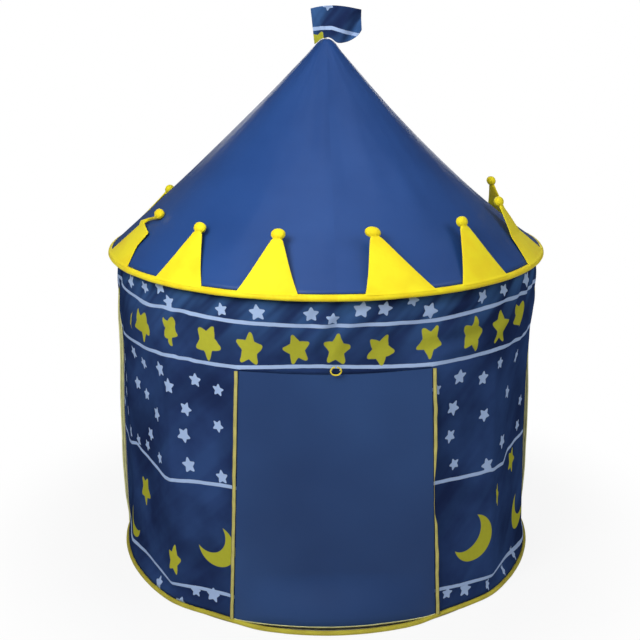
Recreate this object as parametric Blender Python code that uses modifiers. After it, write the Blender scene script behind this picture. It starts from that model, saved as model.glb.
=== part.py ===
# Kids play tent, a round castle tent that a child stands up in.
# Two spring-steel hoops in cloth sleeves hold the wall round, four jointed poles hold it
# up and meet in a hub under the roof's tip, and a door flap rolls up in front.
# Metres, +Z up. The origin is on the ground under the middle, and the door faces -Y.
# An angle round the tent is counted from the door's middle, and grows towards +X.

import math

import bmesh
import bpy
from mathutils import Matrix, Vector

# Counts
RING_STEPS = 72           # facets round the hoops, sleeves and roof
WIRE_SIDES = 6
SLEEVE_FACET = 40.0       # widest facet angle in a sleeve's section
TUBE_STEPS = 10           # facets round a pole
WALL_ROWS = 8             # rows of cloth from hem to eave
HEADER_ROWS = 3           # of those, the rows that lie above the door
DOOR_SLATS = 12           # stiff strips that stand for the flap's cloth as it rolls
POLE_ANGLES = (45.0, 135.0, 225.0, 315.0)
SIDE_SEAM_ANGLE = 90.0

# Cloth and the clearances between pieces
CLOTH = 0.0012            # thickness that every cloth shell is given
SEAT_GAP = 0.0003         # between pieces that touch
CUT_OVERRUN = 0.002       # how far a cutter runs past the face it opens
WELD = 0.00001            # points closer than this are one point

# Hoops and their sleeves
HOOP_RADIUS = 0.528       # the tent is about 1.05 m across
WIRE_RADIUS = 0.00175
EAVE_HEIGHT = 0.777
BAND_RADIUS = 0.0075      # crown band's tube
HEM_RADIUS = 0.0055       # base hem's tube

# Wall
WALL_TOP_IN = 0.0130      # top edge of the wall lies this far inside the hoop's centre line
WALL_FOOT_IN = 0.0015     # and its foot this far
WALL_SAG = 0.0020         # how far the cloth draws in between two poles at half height
WALL_FOLD = 0.0035        # depth of the slack folds under the eave
WALL_FOLD_ANGLE = 30.0    # from one fold to the next
WALL_FOLD_LEAN = 0.33     # height over which a fold leans one fold's width

# Doorway and its flap
JAMB_TOP_HALF = 0.205     # half the doorway's width at the seam
JAMB_FOOT_HALF = 0.230
JAMB_IN = 0.002773        # the jambs' feet lie this far behind the hoop's centre line
DOOR_OUT = 0.0015         # flap's middle surface in front of the jambs
HEADER_HEIGHT = 0.185     # from the middle of the door's seam to the eave
DOOR_SEAM_RISE = 0.015    # how much higher the seam is at the jambs
DOOR_SIDE_GAP = 0.0015
DOOR_HEM_HEIGHT = 0.0128  # lower edge of the flap, clear of the hem below
SLAT_SHRINK = 0.0024      # each strip is this much shorter than the one above it
HEM_BOW = 0.033           # how far the lowest edge bows out at its middle
HEM_BEAD = 0.0018         # radius of the piping along the lowest edge
JAMB_TAPE_WIDTH = 0.0105
JAMB_TAPE_THICKNESS = 0.0027
SIDE_PIPING_WIDTH = 0.0048
SIDE_PIPING_REACH = 0.0100 # how far it stands out of the wall
SIDE_PIPING_FLAT = 0.45   # share of that reach at its two ends

# Poles
POLE_IN = 0.015           # a wall pole's axis lies this far inside the wall's top edge
POLE_RADIUS = 0.006
SPIGOT_RADIUS = 0.004
SPIGOT_LENGTH = 0.028
BORE_CLEARANCE = 0.0003
FOOT_CAP_RADIUS = 0.009
FOOT_CAP_HEIGHT = 0.024
WALL_POLE_SPLIT = 0.385   # height of the joint between a wall pole's two sections
ROOF_POLE_SPLIT = 0.335   # length of the lower roof section that shows
SOCKET_DEPTH = 0.024
SOCKET_WALL = 0.0014
ELBOW_LEG = 0.034
ELBOW_BEND_RADIUS = 0.020
ROOF_TO_POLE = 0.0094     # from the roof cloth's middle surface to a roof pole's axis

# Hub under the roof's tip
HUB_RADIUS = 0.0195
HUB_HEIGHT = 0.030
HUB_DOME = 0.0055
HUB_RISE = 0.004          # hub's top above the edge of the roof's tip
HUB_ARM = 0.056           # from the hub's axis to an arm's mouth, along the pole

# Roof
ROOF_FOOT_IN = 0.0018     # roof's edge lies this far inside the hoop's centre line
ROOF_TIP_RADIUS = 0.0262
ROOF_RISE = 0.4795        # from the eave to the edge of the roof's tip
ROOF_NECK_RADIUS = 0.0058 # hole for the flag's staff
ROOF_NECK_RISE = 0.0105
GORE_SAG_FRONT = 0.013    # how far each quarter of the roof sags between its two ridges
GORE_SAG_RIGHT = 0.024
GORE_SAG_REAR = 0.013
GORE_SAG_LEFT = 0.009
ROOF_ROW_SHARES = (0.0, 0.09, 0.24, 0.42, 0.6, 0.78, 0.92, 1.0)

# Crown points, in order from the door round to the back, on the left and on the right.
# In a table of bends, the first slope is above the level and the second is added at half height.
CROWN_WIDTH = 0.134
CROWN_LENGTH = 0.122      # from the seam to the neck below the ball
CROWN_THICKNESS = 0.0026
CROWN_NECK = 0.0052       # half width of the neck
CROWN_BALL_HALF = 0.0160  # half width of the stuffed ball
CROWN_BALL_THICK = 0.0110
CROWN_BALL_HEIGHT = 0.024
CROWN_SEAM_OUT = 0.0010   # middle of a point's seam in front of the hoop's centre line
CROWN_LIFT = 0.0012       # seam above the band
LEFT_PLACE_SHARES = (0.087, 0.217, 0.386, 0.617, 0.783, 0.928)
RIGHT_PLACE_SHARES = (0.080, 0.210, 0.372, 0.617, 0.783, 0.928)
LEFT_WIDTH_SHARES = (0.96, 1.00, 1.34, 1.06, 1.00, 0.96)
RIGHT_WIDTH_SHARES = (1.13, 1.04, 1.34, 1.06, 1.00, 0.96)
LEFT_LENGTH_SHARES = (0.97, 0.97, 1.02, 1.11, 1.00, 1.00)
RIGHT_LENGTH_SHARES = (1.03, 1.02, 1.20, 0.94, 1.00, 1.00)
LEFT_SWAY_SHARES = (0.03, -0.04, 0.00, 0.05, -0.05, 0.04)
RIGHT_SWAY_SHARES = (-0.24, 0.02, -0.03, 0.05, 0.06, -0.04)
LEFT_BENDS = ((53.0, 0.0), (51.0, 0.0), (48.0, -1.0), (46.5, 0.0), (54.0, 0.0), (52.0, 3.0))
RIGHT_BENDS = ((51.0, 0.0), (54.5, 0.0), (43.5, 15.0), (62.0, 12.0), (53.0, 2.0), (54.0, 0.0))
CROWN_STATION_SHARES = (0.0, 0.16, 0.36, 0.56, 0.78, 1.0)
CREASE_SHARES = (0.3, 0.7) # a bent point turns between these shares of its length
CROWN_FLATNESS = 0.3      # power that makes a rounded section nearly flat
CROWN_FLARE = 0.10        # how much the sides hollow in between the seam and the neck
LEFT_FOLDED = 3           # number of the left point whose tip is folded over
FOLD_FROM = 0.70          # share of its length where the fold lies
FOLD_SWAY = 0.030         # how far the fold throws the neck towards the back
FOLD_RETURN = 0.018       # how far the ball then hangs towards the door

# Flag
STAFF_RADIUS = 0.0030
STAFF_LENGTH = 0.078
STAFF_LEAN = 23.5         # towards -X
STAFF_PEG = 0.016         # upright foot of the staff, in the hub
FLAG_TOP = 0.074          # where the flag's top edge meets the staff
FLAG_TOP_WIDTH = 0.118
FLAG_HEM = 0.006          # cloth behind the staff at the top
FLAG_HEEL = 0.024         # cloth behind the staff at the foot
FLAG_FOOT_REACH = 0.078   # from the staff's foot to the flag's lower far corner
FLAG_FOOT_RISE = 0.006
FLAG_LIFT = 0.0014        # flag's foot above the bend in the staff
FLAG_BELLY = 0.006        # how much its top and bottom edges arch
FLAG_WAVE = 0.007
FLAG_RIPPLES = 1.15
FLAG_SLEEVE_FROM = 0.004
SLEEVE_WALL = 0.0012
STAFF_CLEARANCE = 0.0004

# Loop and toggle that hold the rolled door
LOOP_RADIUS = 0.0090
LOOP_CORD = 0.0016
LOOP_WIDEN = 1.25
LOOP_CLEAR = 0.003        # loop's lower edge above the door's seam
TOGGLE_RADIUS = 0.004
TOGGLE_LENGTH = 0.024

# Places that follow from the sizes above
wall_top_radius = HOOP_RADIUS - WALL_TOP_IN
wall_foot_radius = HOOP_RADIUS - WALL_FOOT_IN
jamb_depth = math.sqrt(HOOP_RADIUS ** 2 - JAMB_FOOT_HALF ** 2) - JAMB_IN
door_depth = jamb_depth + DOOR_OUT
door_seam_height = EAVE_HEIGHT - HEADER_HEIGHT
pole_place_radius = wall_top_radius - POLE_IN
crown_seam_depth = HOOP_RADIUS + CROWN_SEAM_OUT
roof_tip_height = EAVE_HEIGHT + ROOF_RISE
hub_top = roof_tip_height + HUB_RISE
hem_centre = HEM_RADIUS * math.sin(math.radians(60.0)) + CLOTH / 2
wall_foot = 2 * HEM_RADIUS * math.sin(math.radians(60.0)) + CLOTH + SEAT_GAP
wall_top = EAVE_HEIGHT - BAND_RADIUS - CLOTH / 2 - SEAT_GAP
roof_foot_radius = HOOP_RADIUS - ROOF_FOOT_IN
roof_foot_height = EAVE_HEIGHT + BAND_RADIUS + CLOTH / 2 + 2 * SEAT_GAP
roof_slope = math.atan2(roof_tip_height - roof_foot_height, roof_foot_radius - ROOF_TIP_RADIUS)
roof_pole_dir = Vector((-math.cos(roof_slope), 0.0, math.sin(roof_slope)))
roof_normal = Vector((math.sin(roof_slope), 0.0, math.cos(roof_slope)))
door_axis_depth = door_depth + CLOTH / 2
header_depth = door_depth + 1.25 * CLOTH
elbow_radius = POLE_RADIUS + BORE_CLEARANCE + SOCKET_WALL


def around(angle, radius, height):
    """Point at an angle round the tent, counted from the door."""
    turn = math.radians(angle)
    return Vector((radius * math.sin(turn), -radius * math.cos(turn), height))


def smooth(share):
    share = min(max(share, 0.0), 1.0)
    return share * share * (3.0 - 2.0 * share)


def mix(a, b, share):
    return a + (b - a) * share


# Scene, collections and materials

def clear_scene():
    for obj in list(bpy.data.objects):
        bpy.data.objects.remove(obj, do_unlink=True)


def new_collection(name):
    found = bpy.data.collections.new(name)
    bpy.context.scene.collection.children.link(found)
    return found


def material(name, colour, roughness, metallic=0.0):
    made = bpy.data.materials.new(name)
    made.use_nodes = True
    shader = made.node_tree.nodes["Principled BSDF"]
    shader.inputs["Base Color"].default_value = (*colour, 1.0)
    shader.inputs["Roughness"].default_value = roughness
    shader.inputs["Metallic"].default_value = metallic
    made.diffuse_color = (*colour, 1.0)
    return made


def add_piece(name, mesh, finish, round_faces=True):
    obj = bpy.data.objects.new(name, mesh)
    tent.objects.link(obj)
    mesh.materials.clear()
    mesh.materials.append(finish)
    if round_faces:
        mesh.shade_smooth()
        mesh.set_sharp_from_angle(angle=math.radians(40.0))
    return obj


def add_cutter(name, mesh):
    obj = bpy.data.objects.new(name, mesh)
    cutters.objects.link(obj)
    obj.hide_render = True
    obj.display_type = "WIRE"
    return obj


def thicken(obj, thickness=CLOTH):
    """Gives an open cloth surface its thickness, half to each side."""
    solidify = obj.modifiers.new("Cloth", "SOLIDIFY")
    solidify.thickness = thickness
    solidify.offset = 0.0
    solidify.use_even_offset = True
    return obj


def boolean(obj, other, operation):
    made = obj.modifiers.new(operation.title(), "BOOLEAN")
    made.operation = operation
    made.object = other
    return made


def applied_mesh(obj):
    """The object's mesh with its modifiers applied, as a mesh of its own."""
    graph = bpy.context.evaluated_depsgraph_get()
    return bpy.data.meshes.new_from_object(obj.evaluated_get(graph))


# Meshes

def grid_mesh(name, rows, closed=False):
    """A sheet through rows of points. A closed sheet joins each row's last point to its first."""
    bm = bmesh.new()
    lines = [[bm.verts.new(point) for point in row] for row in rows]
    for low, high in zip(lines, lines[1:]):
        count = len(low)
        for i in range(count if closed else count - 1):
            j = (i + 1) % count
            bm.faces.new((low[i], low[j], high[j], high[i]))
    mesh = bpy.data.meshes.new(name)
    bm.to_mesh(mesh)
    bm.free()
    return mesh


def loft_mesh(name, sections):
    """A closed solid through sections with as many points each, with a flat cap at both ends."""
    bm = bmesh.new()
    rings = [[bm.verts.new(point) for point in section] for section in sections]
    for low, high in zip(rings, rings[1:]):
        count = len(low)
        for i in range(count):
            j = (i + 1) % count
            bm.faces.new((low[i], low[j], high[j], high[i]))
    bm.faces.new(list(reversed(rings[0])))
    bm.faces.new(rings[-1])
    bmesh.ops.recalc_face_normals(bm, faces=bm.faces)
    mesh = bpy.data.meshes.new(name)
    bm.to_mesh(mesh)
    bm.free()
    return mesh


def split_faces(mesh):
    """Splits each face along its shorter diagonal, so that both sides of a thin twisted wall match."""
    bm = bmesh.new()
    bm.from_mesh(mesh)
    bmesh.ops.triangulate(bm, faces=bm.faces, quad_method="SHORT_EDGE")
    bm.to_mesh(mesh)
    bm.free()
    return mesh


def turned(name, profile, finish, steps):
    """A solid or a sheet turned round Z from a profile of (radius, height) points."""
    mesh = bpy.data.meshes.new(name)
    points = [(radius, 0.0, height) for radius, height in profile]
    mesh.from_pydata(points, [(i, i + 1) for i in range(len(points) - 1)], [])
    obj = add_piece(name, mesh, finish)
    screw = obj.modifiers.new("Turn", "SCREW")
    screw.axis = "Z"
    screw.angle = math.tau
    screw.steps = steps
    screw.render_steps = steps
    screw.use_merge_vertices = True
    screw.merge_threshold = WELD
    screw.use_smooth_shade = True
    return obj


def cylinder_mesh(name, radius, start, end, steps):
    """A plain cylinder from one point to another, as a cutter or a piece to unite."""
    bm = bmesh.new()
    run = end - start
    place = Matrix.Translation((start + end) / 2) @ run.to_track_quat("Z", "X").to_matrix().to_4x4()
    bmesh.ops.create_cone(
        bm, cap_ends=True, segments=steps, radius1=radius, radius2=radius, depth=run.length, matrix=place
    )
    mesh = bpy.data.meshes.new(name)
    bm.to_mesh(mesh)
    bm.free()
    return mesh


def tube_mesh(name, points, radius, resolution, cyclic=False):
    """A round tube along a line of points, as a welded mesh."""
    curve = bpy.data.curves.new(name, "CURVE")
    curve.dimensions = "3D"
    curve.bevel_depth = radius
    curve.bevel_resolution = resolution
    curve.use_fill_caps = not cyclic
    spline = curve.splines.new("POLY")
    spline.points.add(len(points) - 1)
    for place, point in zip(spline.points, points):
        place.co = (*point, 1.0)
    spline.use_cyclic_u = cyclic
    guide = bpy.data.objects.new(name, curve)
    cutters.objects.link(guide)
    mesh = applied_mesh(guide)
    bpy.data.objects.remove(guide, do_unlink=True)
    bm = bmesh.new()
    bm.from_mesh(mesh)
    bmesh.ops.remove_doubles(bm, verts=bm.verts, dist=WELD)
    bmesh.ops.recalc_face_normals(bm, faces=bm.faces)
    bm.to_mesh(mesh)
    bm.free()
    return mesh


# Hoops and sleeves

def make_hoop(name, centre_height, sleeve_radius):
    """A spring-steel hoop, seated against the outer side of its sleeve."""
    flat = sleeve_radius * math.cos(math.radians(SLEEVE_FACET / 2))
    reach = flat - CLOTH / 2 - SEAT_GAP - WIRE_RADIUS
    bpy.ops.mesh.primitive_torus_add(
        major_segments=RING_STEPS, minor_segments=WIRE_SIDES,
        major_radius=HOOP_RADIUS + reach, minor_radius=WIRE_RADIUS,
        location=(0.0, 0.0, centre_height),
    )
    made = bpy.context.object
    mesh = made.data
    bpy.data.objects.remove(made, do_unlink=True)
    hoop = add_piece(name, mesh, spring_steel)
    hoop.location.z = centre_height
    return hoop


def make_crown_band():
    """The eave hoop's sleeve: round the hoop, then a tail turned in over the wall's top edge."""
    profile = []
    for angle in (112.0, 80.0, 45.0, 10.0, -25.0, -60.0, -90.0):
        turn = math.radians(angle)
        profile.append((HOOP_RADIUS + BAND_RADIUS * math.cos(turn), EAVE_HEIGHT + BAND_RADIUS * math.sin(turn)))
    profile.append((wall_top_radius - 1.5 * CLOTH, EAVE_HEIGHT - BAND_RADIUS))
    return thicken(turned("crown_band", profile, crown_yellow, RING_STEPS))


def make_base_hem():
    """The ground hoop's sleeve, flat underneath, with a slot on top where the wall comes out."""
    profile = []
    for angle in (62.0, 22.0, -18.0, -60.0, -120.0, -162.0, -202.0, -242.0):
        turn = math.radians(angle)
        height = max(HEM_RADIUS * math.sin(turn), -HEM_RADIUS * math.sin(math.radians(60.0)))
        profile.append((HOOP_RADIUS + HEM_RADIUS * math.cos(turn), hem_centre + height))
    return thicken(turned("base_hem", profile, hem_yellow, RING_STEPS))


# Wall

def round_radius(angle, height):
    """Distance of the wall's cloth from the tent's middle, away from the doorway."""
    share = (height - wall_foot) / (wall_top - wall_foot)
    between = math.cos(math.radians(2.0 * angle)) ** 2
    fold_phase = 360.0 * (angle / WALL_FOLD_ANGLE + height / WALL_FOLD_LEAN)
    fold = WALL_FOLD * math.sin(math.radians(fold_phase)) * smooth(share) * smooth(4.0 * (1.0 - share))
    sag = WALL_SAG * math.sin(math.pi * min(max(share, 0.0), 1.0)) + fold
    return mix(wall_foot_radius, wall_top_radius, share) - between * sag


def jamb_half(height):
    share = height / (door_seam_height + DOOR_SEAM_RISE)
    return mix(JAMB_FOOT_HALF, JAMB_TOP_HALF, share)


def header_point(side, share):
    """Point on the cloth over the door: side runs from -1 to 1, share from the seam to the eave."""
    seam = door_seam_height + SEAT_GAP + DOOR_SEAM_RISE * side * side
    depth = mix(header_depth, jamb_depth, side * side)
    low = Vector((side * JAMB_TOP_HALF, -depth, seam))
    height = mix(seam, wall_top, share)
    angle = side * math.degrees(math.atan2(JAMB_TOP_HALF, jamb_depth))
    high = around(angle, round_radius(angle, height), height)
    place = low.lerp(high, smooth(share))
    place.z = height
    return place


def header_front(height):
    """Y of the middle surface of the cloth over the door, at its middle and at this height."""
    seam = header_point(0.0, 0.0)
    row = header_point(0.0, 1.0 / HEADER_ROWS)
    return mix(seam.y, row.y, (height - seam.z) / (row.z - seam.z))


def header_lean():
    """How far the cloth over the door leans outwards, as an angle."""
    rise = header_point(0.0, 1.0 / HEADER_ROWS) - header_point(0.0, 0.0)
    return math.atan2(-rise.y, rise.z)


def jamb_point(side, row):
    """Point of the wall's edge beside the door, and above it the line where the header begins."""
    door_rows = WALL_ROWS - HEADER_ROWS
    if row >= door_rows:
        return header_point(side, (row - door_rows) / HEADER_ROWS)
    top = door_seam_height + SEAT_GAP + DOOR_SEAM_RISE
    height = mix(wall_foot, top, row / door_rows)
    return Vector((side * jamb_half(height), -jamb_depth, height))


def side_column(side, row, share):
    """Point of the wall between the jamb, at share 0, and the side seam, at share 1."""
    jamb = jamb_point(side, row)
    jamb_angle = math.degrees(math.atan2(abs(jamb.x), -jamb.y))
    angle = mix(jamb_angle, SIDE_SEAM_ANGLE - math.degrees(SEAT_GAP / HOOP_RADIUS), share)
    drawn = Vector((jamb.x, jamb.y)).length - round_radius(side * jamb_angle, jamb.z)
    near = 1.0 - (angle - jamb_angle) / (POLE_ANGLES[0] - jamb_angle)
    radius = round_radius(side * angle, jamb.z) + drawn * smooth(near)
    return around(side * angle, radius, jamb.z)


def make_front_wall(columns=13, header_columns=10):
    """Everything in front of the side seams: two side pieces and the header over the doorway."""
    rows = []
    door_rows = WALL_ROWS - HEADER_ROWS
    for row in range(WALL_ROWS + 1):
        left = [side_column(-1, row, 1.0 - i / columns) for i in range(columns + 1)]
        right = [side_column(1, row, i / columns) for i in range(columns + 1)]
        middle = [
            header_point(mix(-1.0, 1.0, i / header_columns), max(row - door_rows, 0) / HEADER_ROWS)
            for i in range(1, header_columns)
        ]
        rows.append(left + middle + right)
    mesh = grid_mesh("front_wall", rows)
    bm = bmesh.new()
    bm.from_mesh(mesh)
    width = len(rows[0]) - 1
    bm.faces.ensure_lookup_table()
    doorway = [
        bm.faces[row * width + column]
        for row in range(door_rows)
        for column in range(columns, columns + header_columns)
    ]
    bmesh.ops.delete(bm, geom=doorway, context="FACES")
    bm.to_mesh(mesh)
    bm.free()
    return thicken(add_piece("front_wall", mesh, print_cloth))


def make_rear_wall(columns=36):
    """The half of the wall behind the side seams."""
    edge = SIDE_SEAM_ANGLE + math.degrees(SEAT_GAP / HOOP_RADIUS)
    rows = []
    for row in range(WALL_ROWS + 1):
        height = mix(wall_foot, wall_top, row / WALL_ROWS)
        angles = [mix(edge, 360.0 - edge, i / columns) for i in range(columns + 1)]
        rows.append([around(angle, round_radius(angle, height), height) for angle in angles])
    return thicken(add_piece("rear_wall", grid_mesh("rear_wall", rows), print_cloth))


def make_jamb_tape(name, side):
    """The flat yellow tape over the wall's edge beside the door, on the outer face of the wall."""
    sections = []
    front = jamb_depth + CLOTH / 2 + SEAT_GAP
    top = door_seam_height + DOOR_SEAM_RISE - SEAT_GAP
    for step in range(9):
        height = mix(wall_foot + SEAT_GAP, top, step / 8)
        inner = jamb_half(height)
        outer = inner + JAMB_TAPE_WIDTH
        back = front + JAMB_TAPE_THICKNESS
        bevel = JAMB_TAPE_THICKNESS / 3
        outline = [
            (inner, front), (outer, front), (outer, back - bevel),
            (outer - bevel, back), (inner + bevel, back), (inner, back - bevel),
        ]
        sections.append([(side * across, -depth, height) for across, depth in outline])
    return add_piece(name, loft_mesh(name, sections), piping_yellow)


def make_side_piping(name, side):
    """The piping over the seam where the front and rear walls meet: a cord on a narrow web."""
    web = CLOTH / 2
    cord = SIDE_PIPING_WIDTH / 2
    middle = SIDE_PIPING_REACH - cord
    outline = [(-web, 0.0), (-web, middle - cord)]
    for angle in (150.0, 90.0, 30.0):
        turn = math.radians(angle)
        outline.append((-cord * math.sin(turn), middle - cord * math.cos(math.pi - turn)))
    outline += [(-depth_x, depth) for depth_x, depth in reversed(outline)]
    sections = []
    for step in range(WALL_ROWS + 1):
        height = mix(wall_foot + SEAT_GAP, wall_top - SEAT_GAP, step / WALL_ROWS)
        root = round_radius(SIDE_SEAM_ANGLE, height) + CLOTH / 2 + 3 * SEAT_GAP
        share = smooth(4.0 * step / WALL_ROWS) * smooth(4.0 * (1.0 - step / WALL_ROWS))
        section = []
        for across, out in outline:
            place = around(side * SIDE_SEAM_ANGLE, root + out * mix(SIDE_PIPING_FLAT, 1.0, share), height)
            place.y += across
            section.append(place)
        sections.append(section)
    return add_piece(name, loft_mesh(name, sections), piping_yellow)


# Roof and crown

def gore_sag(angle):
    """How far the roof's quarter at this angle hangs below a straight cone, at half its height."""
    quarter = round(angle / 90.0) % 4
    depth = (GORE_SAG_FRONT, GORE_SAG_RIGHT, GORE_SAG_REAR, GORE_SAG_LEFT)[quarter]
    return depth * math.cos(math.radians(2.0 * angle)) ** 2


def roof_point(angle, share):
    sag = gore_sag(angle) * math.sin(math.pi * share) ** 0.8
    radius = mix(roof_foot_radius, ROOF_TIP_RADIUS, share) - sag * math.sin(roof_slope)
    height = mix(roof_foot_height, roof_tip_height, share) - sag * math.cos(roof_slope)
    return around(angle, radius, height)


def make_roof():
    rows = []
    angles = [360.0 * i / RING_STEPS for i in range(RING_STEPS)]
    for share in ROOF_ROW_SHARES:
        rows.append([roof_point(angle, share) for angle in angles])
    shoulder = mix(ROOF_TIP_RADIUS, ROOF_NECK_RADIUS, 0.5)
    rows.append([around(angle, shoulder, roof_tip_height + 0.75 * ROOF_NECK_RISE) for angle in angles])
    rows.append([around(angle, ROOF_NECK_RADIUS, roof_tip_height + ROOF_NECK_RISE) for angle in angles])
    return thicken(add_piece("roof_canopy", grid_mesh("roof_canopy", rows, closed=True), roof_cloth))


def crown_section(across, thick, middle, along, sway, flatness):
    """A ten-cornered section of a crown point, square to its length and bent to the ring's curve."""
    corners = []
    for turn in range(10):
        angle = math.tau * (turn + 0.5) / 10
        raised = abs(math.sin(angle)) ** flatness
        place = middle + Vector((1.0, 0.0, 0.0)).cross(along) * math.copysign(thick * raised, math.sin(angle))
        place.x += across * math.cos(angle) / math.cos(math.pi / 10)
        place.y += place.x ** 2 / (2.0 * HOOP_RADIUS)
        place.x += sway
        corners.append(place)
    return corners


def crown_spine(distance, length, bends):
    """Middle and direction of a crown point at a distance along it, in its upright middle plane."""
    slope = math.radians(bends[0])
    first = Vector((0.0, math.cos(slope), math.sin(slope)))
    slope += math.radians(bends[1])
    second = Vector((0.0, math.cos(slope), math.sin(slope)))
    half = length / 2
    share = smooth((distance / length - CREASE_SHARES[0]) / (CREASE_SHARES[1] - CREASE_SHARES[0]))
    along = first.lerp(second, share).normalized()
    middle = first * min(distance, half) + second * max(distance - half, 0.0)
    return middle, along


def make_crown_point(name, angle, width, length, sway, bends, folded):
    """A stiffened cloth triangle with a stuffed ball at its tip. Its seam is its hinge."""
    half = CROWN_THICKNESS / 2
    stations = []
    for share in CROWN_STATION_SHARES:
        hollow = CROWN_FLARE * math.sin(math.pi * share)
        across = mix(width / 2, CROWN_NECK, min(share + hollow * (1.0 - share), 1.0))
        stations.append((across, half, share * length, sway * length * share))
    if folded:
        edge = FOLD_FROM * length
        across = mix(width / 2, CROWN_NECK, 0.62)
        stations = [station for station in stations if station[2] < 0.7 * edge]
        stations += [
            (across, half, edge, 0.0),
            (0.3 * across, half, edge + 0.1 * length, -FOLD_SWAY),
            (CROWN_NECK, half, edge + 0.2 * length, mix(-FOLD_SWAY, FOLD_RETURN, 0.4)),
            (CROWN_NECK, half, length, FOLD_RETURN),
        ]
    last = stations[-1][3]
    for share, wide, thick in ((0.22, 0.80, 0.75), (0.52, 1.0, 1.0), (0.88, 0.62, 0.68)):
        height = length + share * CROWN_BALL_HEIGHT
        stations.append((wide * CROWN_BALL_HALF, thick * CROWN_BALL_THICK, height, last + sway * share * CROWN_BALL_HEIGHT))
    sections = []
    for across, thick, distance, aside in stations:
        middle, along = crown_spine(distance, length, bends)
        flatness = CROWN_FLATNESS if thick == half else 1.0
        sections.append(crown_section(across, thick, middle, along, aside, flatness))
    obj = add_piece(name, loft_mesh(name, sections), crown_yellow)
    seam_height = EAVE_HEIGHT + BAND_RADIUS + CLOTH / 2 + CROWN_LIFT
    obj.location = around(angle, crown_seam_depth, seam_height)
    obj.rotation_euler.z = math.radians(angle)
    return obj


def make_crown():
    places = []
    right = zip(RIGHT_PLACE_SHARES, RIGHT_WIDTH_SHARES, RIGHT_LENGTH_SHARES, RIGHT_SWAY_SHARES, RIGHT_BENDS)
    for place, width, length, sway, bends in right:
        places.append((180.0 * place, width, length, sway, bends, False))
    left = zip(LEFT_PLACE_SHARES, LEFT_WIDTH_SHARES, LEFT_LENGTH_SHARES, LEFT_SWAY_SHARES, LEFT_BENDS)
    for number, (place, width, length, sway, bends) in reversed(list(enumerate(left, 1))):
        places.append((-180.0 * place, width, length, sway, bends, number == LEFT_FOLDED))
    for number, (angle, width, length, sway, bends, folded) in enumerate(places, 1):
        name = "crown_point_%02d" % number
        make_crown_point(name, angle, width * CROWN_WIDTH, length * CROWN_LENGTH, sway, bends, folded)


# Poles, elbows and hub

def pole_origin():
    """Where a wall pole's axis meets the roof pole's, in the pole's own upright plane."""
    on_roof = Vector((roof_foot_radius, 0.0, roof_foot_height)) - roof_normal * ROOF_TO_POLE
    along = (on_roof.x - pole_place_radius) / -roof_pole_dir.x
    return on_roof + roof_pole_dir * along


def section_profile(length, foot, socket_at_top):
    """Profile of a pole section from the top down: foot is cap, spigot or plain."""
    if socket_at_top:
        bore = SPIGOT_RADIUS + BORE_CLEARANCE
        floor = length - SPIGOT_LENGTH - SEAT_GAP
        top = [(0.0, floor), (bore, floor), (bore, length), (POLE_RADIUS, length)]
    else:
        top = [(0.0, length), (POLE_RADIUS, length)]
    if foot == "cap":
        rim = FOOT_CAP_RADIUS * 0.8
        return top + [
            (POLE_RADIUS, FOOT_CAP_HEIGHT), (FOOT_CAP_RADIUS * 0.9, FOOT_CAP_HEIGHT),
            (FOOT_CAP_RADIUS, FOOT_CAP_HEIGHT * 0.2), (rim, 0.0), (0.0, 0.0),
        ]
    if foot == "spigot":
        return top + [
            (POLE_RADIUS, 0.0), (SPIGOT_RADIUS, 0.0), (SPIGOT_RADIUS, -SPIGOT_LENGTH), (0.0, -SPIGOT_LENGTH)
        ]
    return top + [(POLE_RADIUS, 0.0), (0.0, 0.0)]


def share_out(name, model, angles, place):
    """Copies of one piece, one at each pole, made from the model's finished mesh."""
    mesh = applied_mesh(model)
    finish = model.data.materials[0]
    bpy.data.objects.remove(model, do_unlink=True)
    for number, angle in enumerate(angles, 1):
        copy = add_piece("%s_%d" % (name, number), mesh, finish)
        copy.matrix_world = Matrix.Rotation(math.radians(angle - 90.0), 4, "Z") @ place


def make_poles():
    corner = pole_origin()
    upright = Vector((0.0, 0.0, 1.0))
    lean = upright.rotation_difference(roof_pole_dir).to_matrix().to_4x4()
    foot = Matrix.Translation((pole_place_radius, 0.0, 0.0))
    split = Matrix.Translation((pole_place_radius, 0.0, WALL_POLE_SPLIT + SEAT_GAP))
    socket_floor = ELBOW_LEG - SOCKET_DEPTH + SEAT_GAP
    upper_length = corner.z - socket_floor - WALL_POLE_SPLIT - SEAT_GAP
    lower = turned("wall_pole_lower", section_profile(WALL_POLE_SPLIT, "cap", True), pole_white, TUBE_STEPS)
    share_out("wall_pole_lower", lower, POLE_ANGLES, foot)
    upper = turned("wall_pole_upper", section_profile(upper_length, "spigot", False), pole_white, TUBE_STEPS)
    share_out("wall_pole_upper", upper, POLE_ANGLES, split)

    start = corner + roof_pole_dir * socket_floor
    meeting = corner.x / -roof_pole_dir.x
    low_length = ROOF_POLE_SPLIT
    high_start = start + roof_pole_dir * (low_length + SEAT_GAP)
    high_length = meeting - socket_floor - low_length - SEAT_GAP - (HUB_ARM - SOCKET_DEPTH) - SEAT_GAP
    lower = turned("roof_pole_lower", section_profile(low_length, "plain", True), pole_white, TUBE_STEPS)
    share_out("roof_pole_lower", lower, POLE_ANGLES, Matrix.Translation(start) @ lean)
    upper = turned("roof_pole_upper", section_profile(high_length, "spigot", False), pole_white, TUBE_STEPS)
    share_out("roof_pole_upper", upper, POLE_ANGLES, Matrix.Translation(high_start) @ lean)


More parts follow.
